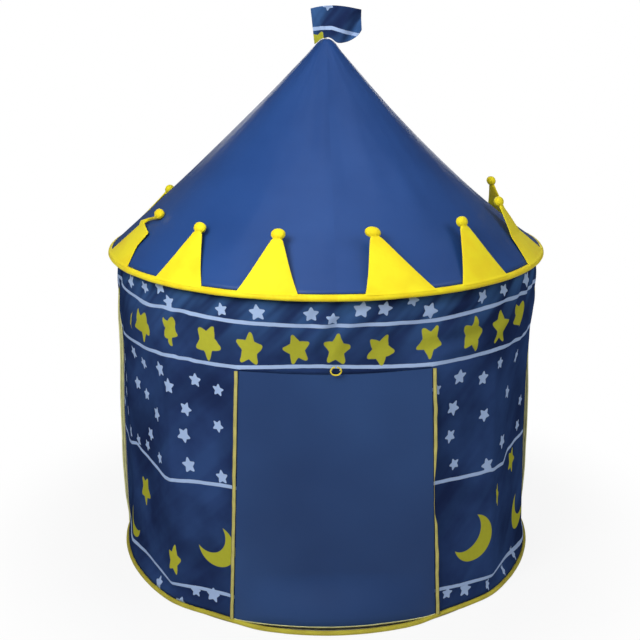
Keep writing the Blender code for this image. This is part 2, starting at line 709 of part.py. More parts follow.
def make_elbows():
    """A bent socket at the eave: a wall pole goes in below and a roof pole above."""
    corner = pole_origin()
    down = Vector((0.0, 0.0, -1.0))
    bend = math.pi - down.angle(roof_pole_dir)
    setback = ELBOW_BEND_RADIUS * math.tan(bend / 2)
    points = [corner + down * ELBOW_LEG]
    for step in range(7):
        share = step / 6
        a = corner.lerp(corner + down * setback, (1.0 - share) ** 2)
        b = corner.lerp(corner + roof_pole_dir * setback, share ** 2)
        points.append(a + b - corner)
    points.append(corner + roof_pole_dir * ELBOW_LEG)
    elbow = add_piece("eave_elbow", tube_mesh("eave_elbow", points, elbow_radius, 2), fitting_white)
    for number, way in enumerate((down, roof_pole_dir), 1):
        mouth = corner + way * (ELBOW_LEG + CUT_OVERRUN)
        floor = corner + way * (ELBOW_LEG - SOCKET_DEPTH)
        name = "elbow_bore_%d" % number
        bore = cylinder_mesh(name, POLE_RADIUS + BORE_CLEARANCE, floor, mouth, 2 * WIRE_SIDES)
        boolean(elbow, add_cutter(name, bore), "DIFFERENCE")
    share_out("eave_elbow", elbow, POLE_ANGLES, Matrix.Identity(4))


def make_hub():
    """The moulded hub: a domed boss with four sloping sockets, and one on top for the staff."""
    profile = [
        (0.0, hub_top), (0.5 * HUB_RADIUS, hub_top - 0.2 * HUB_DOME), (0.86 * HUB_RADIUS, hub_top - 0.6 * HUB_DOME),
        (HUB_RADIUS, hub_top - HUB_DOME), (HUB_RADIUS, hub_top - 0.6 * HUB_HEIGHT),
        (0.7 * HUB_RADIUS, hub_top - HUB_HEIGHT), (0.0, hub_top - HUB_HEIGHT),
    ]
    hub = turned("apex_hub", profile, fitting_white, 2 * TUBE_STEPS)
    corner = pole_origin()
    meeting = corner + roof_pole_dir * (corner.x / -roof_pole_dir.x)
    bores = []
    for number, angle in enumerate(POLE_ANGLES, 1):
        spin = Matrix.Rotation(math.radians(angle - 90.0), 4, "Z")
        way = (spin @ roof_pole_dir) * -1.0
        root = meeting + way * HUB_RADIUS * 0.9
        arm = cylinder_mesh("hub_arm_%d" % number, elbow_radius, root, meeting + way * HUB_ARM, 2 * WIRE_SIDES)
        boolean(hub, add_cutter("hub_arm_%d" % number, arm), "UNION")
        floor = meeting + way * (HUB_ARM - SOCKET_DEPTH)
        mouth = meeting + way * (HUB_ARM + CUT_OVERRUN)
        bores.append(cylinder_mesh("hub_bore_%d" % number, POLE_RADIUS + BORE_CLEARANCE, floor, mouth, 2 * WIRE_SIDES))
    peg_floor = Vector((0.0, 0.0, hub_top - STAFF_PEG))
    peg_mouth = Vector((0.0, 0.0, hub_top + CUT_OVERRUN))
    bores.append(cylinder_mesh("hub_bore_5", STAFF_RADIUS + BORE_CLEARANCE, peg_floor, peg_mouth, 2 * WIRE_SIDES))
    for bore in bores:
        boolean(hub, add_cutter(bore.name, bore), "DIFFERENCE")
    return hub


# Flag

def staff_bend():
    return Vector((0.0, 0.0, roof_tip_height + ROOF_NECK_RISE + 2 * CLOTH))


def staff_dir():
    lean = math.radians(STAFF_LEAN)
    return Vector((-math.sin(lean), 0.0, math.cos(lean)))


def make_staff():
    """The flag's rod: an upright foot in the hub, then a lean towards -X, with a round end."""
    foot = Vector((0.0, 0.0, hub_top - STAFF_PEG + SEAT_GAP))
    bend = staff_bend()
    near = bend - Vector((0.0, 0.0, STAFF_RADIUS))
    beyond = bend + staff_dir() * STAFF_RADIUS
    points = [foot, near, bend, beyond, bend + staff_dir() * STAFF_LENGTH]
    return add_piece("flag_staff", tube_mesh("flag_staff", points, STAFF_RADIUS, 2), pole_white)


def flag_point(share, rise):
    """Point of the flag in the plane of its staff: share runs outwards, rise runs up."""
    low = Vector((mix(-FLAG_HEEL, FLAG_FOOT_REACH, share), 0.0, FLAG_FOOT_RISE * share))
    low.z -= FLAG_BELLY * math.sin(math.pi * share) * smooth(2.0 * share)
    top = staff_dir() * FLAG_TOP + Vector((mix(-FLAG_HEM, FLAG_TOP_WIDTH, share), 0.0, 0.0))
    top.z += FLAG_BELLY * math.sin(math.pi * share)
    place = low.lerp(top, rise)
    ripple = math.sin(math.tau * (FLAG_RIPPLES * share + 0.15 * rise))
    place.y = FLAG_WAVE * ripple * smooth(2.0 * abs(share - FLAG_HEEL / (FLAG_HEEL + FLAG_FOOT_REACH)))
    return staff_bend() + Vector((0.0, 0.0, FLAG_LIFT)) + place


def make_flag():
    """A waving flag that turns on the staff, which runs up a sleeve in its cloth."""
    columns = 12
    rows = []
    for row in range(6):
        rows.append([flag_point(column / columns, row / 5) for column in range(columns + 1)])
    lean = Matrix.Rotation(-math.radians(STAFF_LEAN), 4, "Y")
    place = Matrix.Translation(staff_bend()) @ lean
    mesh = grid_mesh("flag", rows)
    mesh.transform(place.inverted())
    flag = thicken(add_piece("flag", mesh, print_cloth))
    outer = STAFF_RADIUS + STAFF_CLEARANCE + SLEEVE_WALL
    bore = STAFF_RADIUS + STAFF_CLEARANCE
    low = Vector((0.0, 0.0, FLAG_SLEEVE_FROM))
    high = Vector((0.0, 0.0, FLAG_TOP + FLAG_LIFT))
    beyond = Vector((0.0, 0.0, FLAG_SLEEVE_FROM + 5 * CUT_OVERRUN))
    sleeve = add_cutter("flag_sleeve", cylinder_mesh("flag_sleeve", outer, low, high, 2 * WIRE_SIDES))
    hole = add_cutter("flag_bore", cylinder_mesh("flag_bore", bore, low - beyond, high + beyond, 2 * WIRE_SIDES))
    boolean(flag, sleeve, "UNION")
    boolean(flag, hole, "DIFFERENCE")
    for piece in (flag, sleeve, hole):
        piece.matrix_world = place
    return flag


# Door

def slat_lengths():
    """Lengths of the flap's strips, which shrink downwards so that the roll winds inside itself."""
    drop = door_seam_height - DOOR_HEM_HEIGHT
    shrink = SLAT_SHRINK * DOOR_SLATS * (DOOR_SLATS - 1) / 2
    first = (drop + shrink) / DOOR_SLATS
    return [first - SLAT_SHRINK * number for number in range(DOOR_SLATS)]


def make_top_slat(name, length):
    """The first strip, whose upper edge follows the seam's curve."""
    columns = 8
    rows = []
    for row in range(2):
        line = []
        for column in range(columns + 1):
            side = mix(-1.0, 1.0, column / columns)
            top = DOOR_SEAM_RISE * side * side - SEAT_GAP
            height = mix(top, -length + SEAT_GAP / 2, row)
            half = jamb_half(door_seam_height + height) - DOOR_SIDE_GAP
            line.append((side * half, CLOTH / 2, height))
        rows.append(line)
    return thicken(add_piece(name, grid_mesh(name, rows), door_cloth, round_faces=False))


def make_slat(name, top, length):
    rows = []
    for high in (-SEAT_GAP / 2, -length + SEAT_GAP / 2):
        half = jamb_half(top + high) - DOOR_SIDE_GAP
        rows.append([(-half, CLOTH / 2, high), (half, CLOTH / 2, high)])
    return thicken(add_piece(name, grid_mesh(name, rows), door_cloth, round_faces=False))


def make_hem_slat(name, top, length):
    """The lowest strip: it bows out towards the hoop in front and ends in a piped edge."""
    columns = 12
    bead = HEM_BEAD
    sections = []
    for column in range(columns + 1):
        side = mix(-1.0, 1.0, column / columns)
        bow = HEM_BOW * math.cos(math.pi / 2 * side)
        foot = -length + bead
        half = jamb_half(top - length) - DOOR_SIDE_GAP
        head = jamb_half(top) - DOOR_SIDE_GAP
        outline = [(CLOTH, -SEAT_GAP / 2), (CLOTH, -length / 2), (CLOTH, foot + bead)]
        outline += [(CLOTH / 2 + bead * math.cos(turn), foot + bead * math.sin(turn))
                    for turn in (0.35, -0.75, -1.85, -2.95, -3.75)]
        outline += [(0.0, foot + bead), (0.0, -length / 2), (0.0, -SEAT_GAP / 2)]
        section = []
        for depth, high in outline:
            share = smooth(-high / length)
            across = side * mix(head, half, -high / length)
            section.append((across, depth - bow * share, high))
        sections.append(section)
    return add_piece(name, split_faces(loft_mesh(name, sections)), door_cloth)


def make_door():
    top = door_seam_height
    lengths = slat_lengths()
    for number, length in enumerate(lengths, 1):
        name = "door_flap_%02d" % number
        if number == 1:
            slat = make_top_slat(name, length)
        elif number == DOOR_SLATS:
            slat = make_hem_slat(name, top, length)
        else:
            slat = make_slat(name, top, length)
        slat.location = (0.0, -door_axis_depth, top)
        top -= length


def make_loop():
    """An elastic cord loop sewn to the header. Its origin is at its sewn end."""
    bpy.ops.mesh.primitive_torus_add(
        major_segments=16, minor_segments=6, major_radius=LOOP_RADIUS, minor_radius=LOOP_CORD,
        rotation=(math.pi / 2, 0.0, 0.0),
    )
    made = bpy.context.object
    bpy.ops.object.transform_apply(location=False, rotation=True, scale=False)
    mesh = made.data
    bpy.data.objects.remove(made, do_unlink=True)
    mesh.transform(Matrix.Translation((0.0, 0.0, -LOOP_RADIUS)) @ Matrix.Diagonal((LOOP_WIDEN, 1.0, 1.0, 1.0)))
    loop = add_piece("door_loop", mesh, crown_yellow)
    top = door_seam_height + LOOP_CLEAR + 2 * LOOP_RADIUS + LOOP_CORD
    loop.location = (0.0, header_front(top + LOOP_CORD) - CLOTH / 2 - 2 * SEAT_GAP - LOOP_CORD, top)
    return loop


def make_toggle():
    """The barrel toggle sewn inside the header, which the loop hooks over."""
    height = door_seam_height + LOOP_CLEAR + LOOP_RADIUS + LOOP_CORD
    depth = header_front(height) + (CLOTH / 2 + 2 * SEAT_GAP + TOGGLE_RADIUS) / math.cos(header_lean())
    half = TOGGLE_LENGTH / 2
    profile = [
        (0.0, half), (0.6 * TOGGLE_RADIUS, 0.96 * half), (TOGGLE_RADIUS, 0.75 * half),
        (0.7 * TOGGLE_RADIUS, 0.2 * half), (0.7 * TOGGLE_RADIUS, -0.2 * half),
        (TOGGLE_RADIUS, -0.75 * half), (0.6 * TOGGLE_RADIUS, -0.96 * half), (0.0, -half),
    ]
    toggle = turned("door_toggle", profile, fitting_white, TUBE_STEPS)
    toggle.rotation_euler = (0.0, math.pi / 2, 0.0)
    toggle.location = (0.0, depth, height)
    return toggle


clear_scene()
tent = new_collection("kids_play_tent")
cutters = new_collection("cutters")

roof_cloth = material("roof_cloth", (0.035, 0.085, 0.27), 0.55)
door_cloth = material("door_cloth", (0.028, 0.065, 0.19), 0.6)
print_cloth = material("print_cloth", (0.02, 0.05, 0.17), 0.6)
crown_yellow = material("crown_yellow", (1.0, 0.86, 0.03), 0.6)
hem_yellow = material("hem_yellow", (0.58, 0.46, 0.03), 0.6)
piping_yellow = material("piping_yellow", (0.68, 0.62, 0.12), 0.55)
spring_steel = material("spring_steel", (0.45, 0.45, 0.46), 0.35, 1.0)
pole_white = material("pole_white", (0.8, 0.8, 0.78), 0.4)
fitting_white = material("fitting_white", (0.72, 0.72, 0.7), 0.45)

make_hoop("base_hoop", hem_centre, HEM_RADIUS)
make_hoop("eave_hoop", EAVE_HEIGHT, BAND_RADIUS)
make_base_hem()
make_crown_band()
make_front_wall()
make_rear_wall()
make_jamb_tape("left_jamb_tape", -1)
make_jamb_tape("right_jamb_tape", 1)
make_side_piping("left_side_piping", -1)
make_side_piping("right_side_piping", 1)
make_roof()
make_crown()
make_poles()
make_elbows()
make_hub()
make_staff()
make_flag()
make_door()
make_loop()
make_toggle()
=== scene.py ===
import math

import bmesh
import bpy
import numpy as np
from mathutils import Matrix, Vector, noise


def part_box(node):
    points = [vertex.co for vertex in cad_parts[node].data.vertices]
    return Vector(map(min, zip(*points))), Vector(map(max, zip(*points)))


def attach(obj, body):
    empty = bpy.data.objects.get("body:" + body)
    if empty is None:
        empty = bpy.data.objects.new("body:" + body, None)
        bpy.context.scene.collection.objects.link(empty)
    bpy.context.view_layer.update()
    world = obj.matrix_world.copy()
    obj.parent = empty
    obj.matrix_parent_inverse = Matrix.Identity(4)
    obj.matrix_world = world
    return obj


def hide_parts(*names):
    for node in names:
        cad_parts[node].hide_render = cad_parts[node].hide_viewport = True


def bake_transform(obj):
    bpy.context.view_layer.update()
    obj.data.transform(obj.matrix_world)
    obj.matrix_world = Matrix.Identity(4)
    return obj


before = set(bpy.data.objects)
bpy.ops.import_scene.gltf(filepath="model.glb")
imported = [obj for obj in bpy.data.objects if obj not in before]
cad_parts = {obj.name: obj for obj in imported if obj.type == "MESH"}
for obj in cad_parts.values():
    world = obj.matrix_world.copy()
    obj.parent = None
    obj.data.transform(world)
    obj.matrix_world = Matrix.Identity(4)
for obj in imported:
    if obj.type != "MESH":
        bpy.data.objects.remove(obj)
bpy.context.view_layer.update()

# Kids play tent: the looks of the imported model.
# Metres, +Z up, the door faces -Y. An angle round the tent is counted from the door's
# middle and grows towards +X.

# Sizes shared with the model's source
tent = dict(
    hoop=0.528,         # radius of both hoops
    eave=0.777,         # height of the upper hoop
    band=0.0075,        # radius of the crown band's tube
    hem=0.0055,         # radius of the base hem's tube
    cloth=0.0012,
    gap=0.0003,
)
tent["hemCentre"] = tent["hem"] * math.sin(math.radians(60)) + tent["cloth"] / 2
tent["wallFoot"] = 2 * tent["hem"] * math.sin(math.radians(60)) + tent["cloth"] + tent["gap"]
tent["wallTop"] = tent["eave"] - tent["band"] - tent["cloth"] / 2 - tent["gap"]


def around(angle, radius, height):
    turn = math.radians(angle)
    return Vector((radius * math.sin(turn), -radius * math.cos(turn), height))


def mix(a, b, share):
    return a + (b - a) * share


def smooth(share):
    share = min(max(share, 0.0), 1.0)
    return share * share * (3 - 2 * share)


def bump(x, centre, width):  # 1 at the centre, 0 beyond the width
    return smooth(1 - abs(x - centre) / width)


def steps(value, table):  # straight lines through (place, value) pairs
    return float(np.interp(value, [row[0] for row in table], [row[1] for row in table]))


def wrapped(angle):  # the same angle between -180 and 180
    return (angle + 180) % 360 - 180


def rumple(*place):  # smooth unevenness, -1 to 1
    return noise.noise(Vector(place))


# Camera, as the photograph was taken

view = dict(turn=-2.5, distance=2.496, height=1.3155, down=16.52, lens=56.98, sensor=36, size=640, shift=6)


def makeCamera():
    data = bpy.data.cameras.new("camera")
    data.lens, data.sensor_width, data.shift_x = view["lens"], view["sensor"], -view["shift"] / view["size"]
    made = bpy.data.objects.new("camera", data)
    made.location = around(view["turn"], view["distance"], view["height"])
    made.rotation_euler = (math.pi / 2 - math.radians(view["down"]), 0, math.radians(view["turn"]))
    bpy.context.scene.collection.objects.link(made)
    bpy.context.scene.camera = made
    bpy.context.view_layer.update()
    return made


camera = makeCamera()


def sight(px, py):  # direction in which a pixel of the photograph looks
    focal = view["lens"] / view["sensor"] * view["size"]
    middle = view["size"] / 2
    local = Vector((px - middle - view["shift"], middle - py, -focal))
    return (camera.matrix_world.to_3x3() @ local).normalized()


def onPlane(px, py, depth=0.0):  # the point under a pixel on the upright plane y = depth
    way = sight(px, py)
    return camera.location + way * ((depth - camera.location.y) / way.y)


def onRound(px, py, radiusAt):  # angle and height of the point under a pixel on a round wall
    eye, way = camera.location, sight(px, py)
    radius, angle, height = 0.52, 0.0, 0.4
    for _ in range(12):
        a = way.x ** 2 + way.y ** 2
        b = eye.x * way.x + eye.y * way.y
        c = eye.x ** 2 + eye.y ** 2 - radius ** 2
        far = (-b - math.sqrt(max(b * b - a * c, 0))) / a
        point = eye + way * far
        angle, height = math.degrees(math.atan2(point.x, -point.y)), point.z
        radius = mix(radius, radiusAt(angle, height), 0.7)
    return angle, height


# Material nodes

class Shade:  # a shader socket that can be used in sums like a number
    tree = None

    def __init__(self, socket):
        self.socket = socket

    @classmethod
    def node(cls, kind, settings=None, inputs=None, output=0):
        made = cls.tree.nodes.new(kind)
        for key, value in (settings or {}).items():
            setattr(made, key, value)
        for key, value in (inputs or {}).items():
            cls.feed(made.inputs[key], value)
        return cls(made.outputs[output] if made.outputs else None)

    @classmethod
    def feed(cls, place, value):
        if isinstance(value, Shade):
            cls.tree.links.new(value.socket, place)
        else:
            place.default_value = value

    @classmethod
    def math(cls, operation, *values):
        return cls.node("ShaderNodeMath", {"operation": operation}, dict(enumerate(values)))

    def __add__(self, other):
        return self.math("ADD", self, other)

    def __sub__(self, other):
        return self.math("SUBTRACT", self, other)

    def __rsub__(self, other):
        return self.math("SUBTRACT", other, self)

    def __mul__(self, other):
        return self.math("MULTIPLY", self, other)

    def __truediv__(self, other):
        return self.math("DIVIDE", self, other)

    def __lt__(self, other):
        return self.math("LESS_THAN", self, other)

    def __gt__(self, other):
        return self.math("GREATER_THAN", self, other)

    __radd__ = __add__
    __rmul__ = __mul__

    def part(self, axis):
        return self.node("ShaderNodeSeparateXYZ", None, {0: self}, "XYZ".index(axis))

    def ramp(self, low, high):  # 0 below low and 1 above high
        settings = {"interpolation_type": "SMOOTHSTEP"}
        return self.node("ShaderNodeMapRange", settings, {"Value": self, "From Min": low, "From Max": high})


def colourMix(share, a, b):
    settings = {"data_type": "RGBA"}
    paints = [value if isinstance(value, Shade) else (*value, 1) for value in (a, b)]
    return Shade.node("ShaderNodeMix", settings, {0: share, 6: paints[0], 7: paints[1]}, 2)


def cloud(place, scale, detail=3.0):
    return Shade.node("ShaderNodeTexNoise", None, {"Vector": place, "Scale": scale, "Detail": detail})


def attribute(name, output=1):
    return Shade.node("ShaderNodeAttribute", {"attribute_name": name}, None, output)


def clothPlace():  # metres along and across the cloth
    return Shade.node("ShaderNodeUVMap", {"uv_map": "cloth"})


def objectPlace():
    return Shade.node("ShaderNodeTexCoord", None, None, 3)


def newMaterial(name, build):
    made = bpy.data.materials.new(name)
    made.use_nodes = True
    Shade.tree = made.node_tree
    shader = made.node_tree.nodes["Principled BSDF"]
    for key, value in build().items():
        Shade.feed(shader.inputs[key], value)
    return made


def bumped(height, strength=0.8):  # height in metres
    return Shade.node("ShaderNodeBump", None, {"Height": height, "Distance": 1.0, "Strength": strength})


def span(x, y):  # length of a pair of measures
    return Shade.math("SQRT", x * x + y * y)


def weave(place, thread):  # threads over and under, 0 to 1
    across = Shade.math("SINE", place.part("X") * (math.pi / thread))
    along = Shade.math("SINE", place.part("Y") * (math.pi / thread))
    return across * along


def dashes(across, along, at, width, pitch):  # a row of stitches
    line = Shade.math("ABSOLUTE", across - at) < width / 2
    dash = Shade.math("FRACT", along / pitch) < 0.62
    return line * dash


# Meshes

def addPiece(name, mesh, paint, body):
    made = bpy.data.objects.new(name, mesh)
    bpy.context.scene.collection.objects.link(made)
    mesh.materials.append(paint)
    mesh.shade_smooth()
    if body:
        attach(made, body)
    return made


def clothGrid(name, rows, closed=False, keep=None):
    points = np.array([[tuple(point) for point in row] for row in rows])
    count, width = points.shape[:2]
    index = np.arange(count * width).reshape(count, width)
    if closed:
        index = np.concatenate([index, index[:, :1]], 1)
    quads = np.stack([index[:-1, :-1], index[:-1, 1:], index[1:, 1:], index[1:, :-1]], -1)
    across = np.linalg.norm(np.diff(points[:, index[0] % width], axis=1), axis=2).mean(0)
    along = np.linalg.norm(np.diff(points, axis=0), axis=2).mean(1)
    u = np.concatenate([[0], np.cumsum(across)])
    v = np.concatenate([[0], np.cumsum(along)])
    uCorner = np.stack([u[:-1], u[1:], u[1:], u[:-1]], -1)[None].repeat(count - 1, 0)
    vCorner = np.stack([v[:-1], v[:-1], v[1:], v[1:]], -1)[:, None].repeat(quads.shape[1], 1)
    if keep is None:
        keep = np.ones(quads.shape[:2], bool)
    quads, uCorner, vCorner = quads[keep], uCorner[keep], vCorner[keep]
    used, quads = np.unique(quads, return_inverse=True)
    quads = quads.reshape(-1, 4)
    mesh = bpy.data.meshes.new(name)
    mesh.from_pydata(points.reshape(-1, 3)[used].tolist(), [], quads.tolist())
    layer = mesh.uv_layers.new(name="cloth")
    layer.data.foreach_set("uv", np.stack([uCorner.ravel(), vCorner.ravel()], -1).ravel())
    return mesh


def mend(mesh, join=False, fill=False, turn=True):
    # Joins doubled points, fills open ends and turns the faces outwards
    bm = bmesh.new()
    bm.from_mesh(mesh)
    if join:
        bmesh.ops.remove_doubles(bm, verts=bm.verts, dist=1e-6)
    if fill:
        bmesh.ops.holes_fill(bm, edges=[edge for edge in bm.edges if edge.is_boundary])
    if turn:
        bmesh.ops.recalc_face_normals(bm, faces=bm.faces)
    bm.to_mesh(mesh)
    bm.free()
    return mesh


def layOut(mesh, placeOf):  # sets the cloth's measure from each vertex's number and point
    layer = mesh.uv_layers["cloth"]
    for corner in mesh.loops:
        number = corner.vertex_index
        layer.data[corner.index].uv = placeOf(number, mesh.vertices[number].co)


def tube(name, path, radius, sides=12, closed=False, profile=None):
    # A round or shaped bar along a path; radius may be one number or one for each point
    path = [Vector(point) for point in path]
    radii = radius if hasattr(radius, "__len__") else [radius] * len(path)
    rows = []
    for i, point in enumerate(path):
        before = path[i - 1] if i or closed else point
        after = path[(i + 1) % len(path)] if i + 1 < len(path) or closed else point
        along = (after - before).normalized()
        side = along.cross((0, 0, 1) if abs(along.z) < 0.9 else (point.x, point.y, 0))
        side.normalize()
        up = side.cross(along)
        turns = [math.tau * k / sides for k in range(sides)]
        outline = profile or [(math.cos(turn), math.sin(turn)) for turn in turns]
        rows.append([point + radii[i] * (side * a + up * b) for a, b in outline])
    if closed:
        rows.append(rows[0])
    return mend(clothGrid(name, rows, closed=True), join=True, fill=not closed)


def thicken(obj, thickness, inner=None):
    solid = obj.modifiers.new("cloth", "SOLIDIFY")
    solid.thickness, solid.offset = thickness, 0
    if inner:
        obj.data.materials.append(inner)
        solid.material_offset = 1


def printOn(mesh, places, motifs, stripes):
    # Every face gets the nearest motif and the nearest stripe, measured at its corners.
    # places holds two numbers for each vertex, in the motifs' measure. A motif is its
    # place, size, turn in degrees, kind (1 light star, 2 gold star, 3 moon) and narrowing.
    corners = np.empty(len(mesh.loops), int)
    mesh.loops.foreach_get("vertex_index", corners)
    at = places[corners.reshape(-1, 4)]
    middle = at.mean(1)
    spots = np.array([(*motif, 1.0)[:6] for motif in motifs])
    far = np.hypot(middle[:, None, 0] - spots[None, :, 0], middle[:, None, 1] - spots[None, :, 1])
    nearest = (far / spots[None, :, 2]).argmin(1)
    spot = spots[nearest][:, None]
    tilt = np.radians(spot[..., 3])
    dx = (at[..., 0] - spot[..., 0]) / (spot[..., 2] * spot[..., 5])
    dy = (at[..., 1] - spot[..., 1]) / spot[..., 2]
    near = (far.min(1) < 0.12)[:, None]
    shape = np.empty((len(at), 4, 3))
    shape[..., 0] = np.where(near, dx * np.cos(tilt) - dy * np.sin(tilt), 9)
    shape[..., 1] = np.where(near, dx * np.sin(tilt) + dy * np.cos(tilt), 9)
    shape[..., 2] = np.where(near, spot[..., 4], 0)
    band = np.full(at.shape[:2], 1.0)
    for line in stripes:
        here = at[..., 1] - line(at[..., 0])
        closer = np.abs(here.mean(1)) < np.abs(band.mean(1))
        band[closer] = here[closer]
    made = mesh.attributes.new("motif", "FLOAT_VECTOR", "CORNER")
    made.data.foreach_set("vector", shape.ravel())
    made = mesh.attributes.new("stripe", "FLOAT", "CORNER")
    made.data.foreach_set("value", band.ravel())


# Materials

print("scene: materials")

inks = dict(
    light=(0.42, 0.56, 0.84), gold=(0.50, 0.50, 0.045),
    # bright only paints sheen on the wall's folds; deep is the cloth's darker navy and also paints the folds' shade
    navy=(0.030, 0.064, 0.190), deep=(0.014, 0.026, 0.086), bright=(0.052, 0.135, 0.330),
)
prints = dict(
    thread=0.0007, stripeHalf=0.0043, stripeSoft=0.0004, wobble=0.0011, uneven=0.20,
    radius=0.52,                 # the print is laid out round a ring of this radius
    starSide=(0.4426, 0.8967),   # direction square to a star's side
    starRound=0.86, starTip=0.14, moonBite=0.44,
)


# streaks is the share of painted fold shade and sheen all over the cloth
def printFinish(fade=0.0, streaks=0.10):
    def build():
        place = clothPlace()
        shape = attribute("motif")
        kind = shape.part("Z")
        x = shape.part("X") + (cloud(place, 34, 1) - 0.5) * prints["uneven"]
        y = shape.part("Y") + (cloud(place, 37, 1) - 0.5) * prints["uneven"]
        far = span(x, y)
        turn = Shade.math("PINGPONG", Shade.math("ARCTAN2", x, y), math.radians(36))
        ahead, aside = prints["starSide"]
        edge = (far * Shade.math("COSINE", turn) - 1) * ahead + far * Shade.math("SINE", turn) * aside
        star = Shade.math("SMOOTH_MAX", edge, far - prints["starRound"], prints["starTip"])
        star = 1 - star.ramp(-0.025, 0.025)
        x, y = shape.part("X"), shape.part("Y")
        far = span(x, y)
        bite = span(x + prints["moonBite"], y - prints["moonBite"])
        moon = (1 - far.ramp(0.985, 1.015)) * bite.ramp(0.86, 0.89)
        isLight = (kind > 0.5) * (kind < 1.5)
        isGold = (kind > 1.5) * (kind < 2.5)
        wobble = (cloud(place, 30, 2) - 0.5) * (2 * prints["wobble"])
        line = Shade.math("ABSOLUTE", attribute("stripe", 2) + wobble)
        soft = prints["stripeSoft"]
        stripe = 1 - line.ramp(prints["stripeHalf"] - soft, prints["stripeHalf"] + soft)
        light = Shade.math("MAXIMUM", star * isLight, stripe)
        gold = star * isGold + moon * (kind > 2.5)
        # Diagonal streaks of deep and bright navy, strongest above about 0.62 m up the cloth: painted shade and sheen
        # of the folds
        slant = (place.part("X") - place.part("Y")) * 15
        lean = Shade.node("ShaderNodeCombineXYZ", None, {0: slant, 1: place.part("Y") * 4})
        high = place.part("Y").ramp(0.62, 0.76) * 0.62 + streaks
        base = colourMix(cloud(place, 4.5, 4).ramp(0.34, 0.66), inks["deep"], inks["navy"])
        base = colourMix(high, base, colourMix(cloud(lean, 1.0, 2).ramp(0.36, 0.64), inks["deep"], inks["bright"]))
        blot = cloud(place, 120, 2)
        lightInk = colourMix(blot * 0.5, inks["light"], [c * 0.86 for c in inks["light"]])
        goldInk = colourMix(blot * 0.6, inks["gold"], [c * 0.78 for c in inks["gold"]])
        paint = colourMix(light * (1 - fade), base, lightInk)
        paint = colourMix(gold * (1 - fade), paint, goldInk)
        cloth = weave(place, prints["thread"])
        creases = cloud(place, 45, 4)
        return {
            "Base Color": paint,
            "Roughness": cloud(place, 18) * 0.14 + 0.46 - (light + gold) * 0.06,
            "Normal": bumped(cloth * 0.00006 + creases * 0.0009),
            "Specular IOR Level": 0.0,
        }
    return build


plain = dict(thread=0.0007, creaseDepth=0.0010, creaseScale=28)


def plainFinish(tones, rough=0.52, shine=0.3, cloudScale=4.0):
    def build():
        place = clothPlace()
        share = cloud(place, cloudScale, 3).ramp(0.30, 0.70)
        specks = cloud(place, 700, 1)
        creases = cloud(place, plain["creaseScale"], 4) * plain["creaseDepth"]
        paint = colourMix(share, tones[0], tones[1])
        paint = colourMix(specks * 0.12, paint, [c * 0.6 for c in tones[0]])
        return {
            "Base Color": paint,
            "Roughness": cloud(place, 22) * 0.12 + (rough - 0.06),
            "Normal": bumped(weave(place, plain["thread"]) * 0.00006 + creases),
            "Specular IOR Level": shine,
        }
    return build


yellow = dict(bright=(0.93, 0.80, 0.018), shade=(0.88, 0.66, 0.012), seam=(0.74, 0.52, 0.01))


def crownFinish():
    place = objectPlace()
    fine = cloud(place, 26, 4)
    paint = colourMix(cloud(place, 14, 3).ramp(0.38, 0.72) * 0.7, yellow["bright"], yellow["shade"])
    nap = cloud(place, 900, 2)
    return {
        "Base Color": paint,
        "Roughness": nap * 0.15 + 0.55,
        "Normal": bumped(fine * 0.0026 + nap * 0.00005, 0.7),
        "Sheen Weight": 0.08,
        "Specular IOR Level": 0.12,
    }


def sleeveFinish(tones, stitchAt):
    # A sleeve of cloth round a hoop: u runs round the tube, v along the hoop
    def build():
        place = clothPlace()
        stitches = dashes(place.part("X"), place.part("Y"), stitchAt, 0.0011, 0.0042)
        puckers = Shade.math("SINE", place.part("Y") * (math.tau / 0.011)) * cloud(place, 60, 2)
        paint = colourMix(cloud(place, 20, 3).ramp(0.3, 0.7), tones[0], tones[1])
        paint = colourMix(stitches * 0.55, paint, tones[2])
        return {
            "Base Color": paint,
            "Roughness": cloud(place, 60) * 0.15 + 0.5,
            "Normal": bumped(weave(place, 0.0008) * 0.00007 + puckers * 0.0005 - stitches * 0.0003),
            "Sheen Weight": 0.08,
            "Specular IOR Level": 0.15,
        }
    return build


# edge is near-black: painted shade along the sides of tapes and piping
tape = dict(face=(0.63, 0.57, 0.17), edge=(0.05, 0.05, 0.03), lit=(0.90, 0.88, 0.40))


def tapeFinish(width, edge, face=tape["face"]):
    # u runs across the tape and v along it
    def build():
        place = clothPlace()
        across, along = place.part("X"), place.part("Y")
        side = Shade.math("ABSOLUTE", across - width / 2)
        # Near-black bands along both sides: painted shade at the tape's edges
        edgeShade = side.ramp(width / 2 - edge * 1.2, width / 2 - edge * 0.8)
        stitches = dashes(side, along, width / 2 - edge * 1.9, 0.0006, 0.0034)
        ribs = Shade.math("SINE", along * (math.tau / 0.0011))
        paint = colourMix(cloud(place, 35, 3).ramp(0.3, 0.7), face, [0.78 * tone for tone in face])
        paint = colourMix(stitches * 0.5, paint, (0.35, 0.28, 0.03))
        paint = colourMix(edgeShade, paint, tape["edge"])
        return {
            "Base Color": paint,
            "Roughness": ribs * 0.05 + 0.55,
            "Normal": bumped(ribs * 0.00010 - stitches * 0.0002 + cloud(place, 90, 2) * 0.0005),
            "Specular IOR Level": 0.3,
        }
    return build


def steelFinish():
    place = objectPlace()
    rust = cloud(place, 240, 4).ramp(0.58, 0.72)
    return {
        "Base Color": colourMix(rust * 0.4, (0.42, 0.43, 0.45), (0.22, 0.15, 0.10)),
        "Metallic": 1.0,
        "Roughness": cloud(place, 400, 2) * 0.2 + 0.26,
        "Normal": bumped(cloud(place, 900, 2) * 0.0001, 0.6),
    }


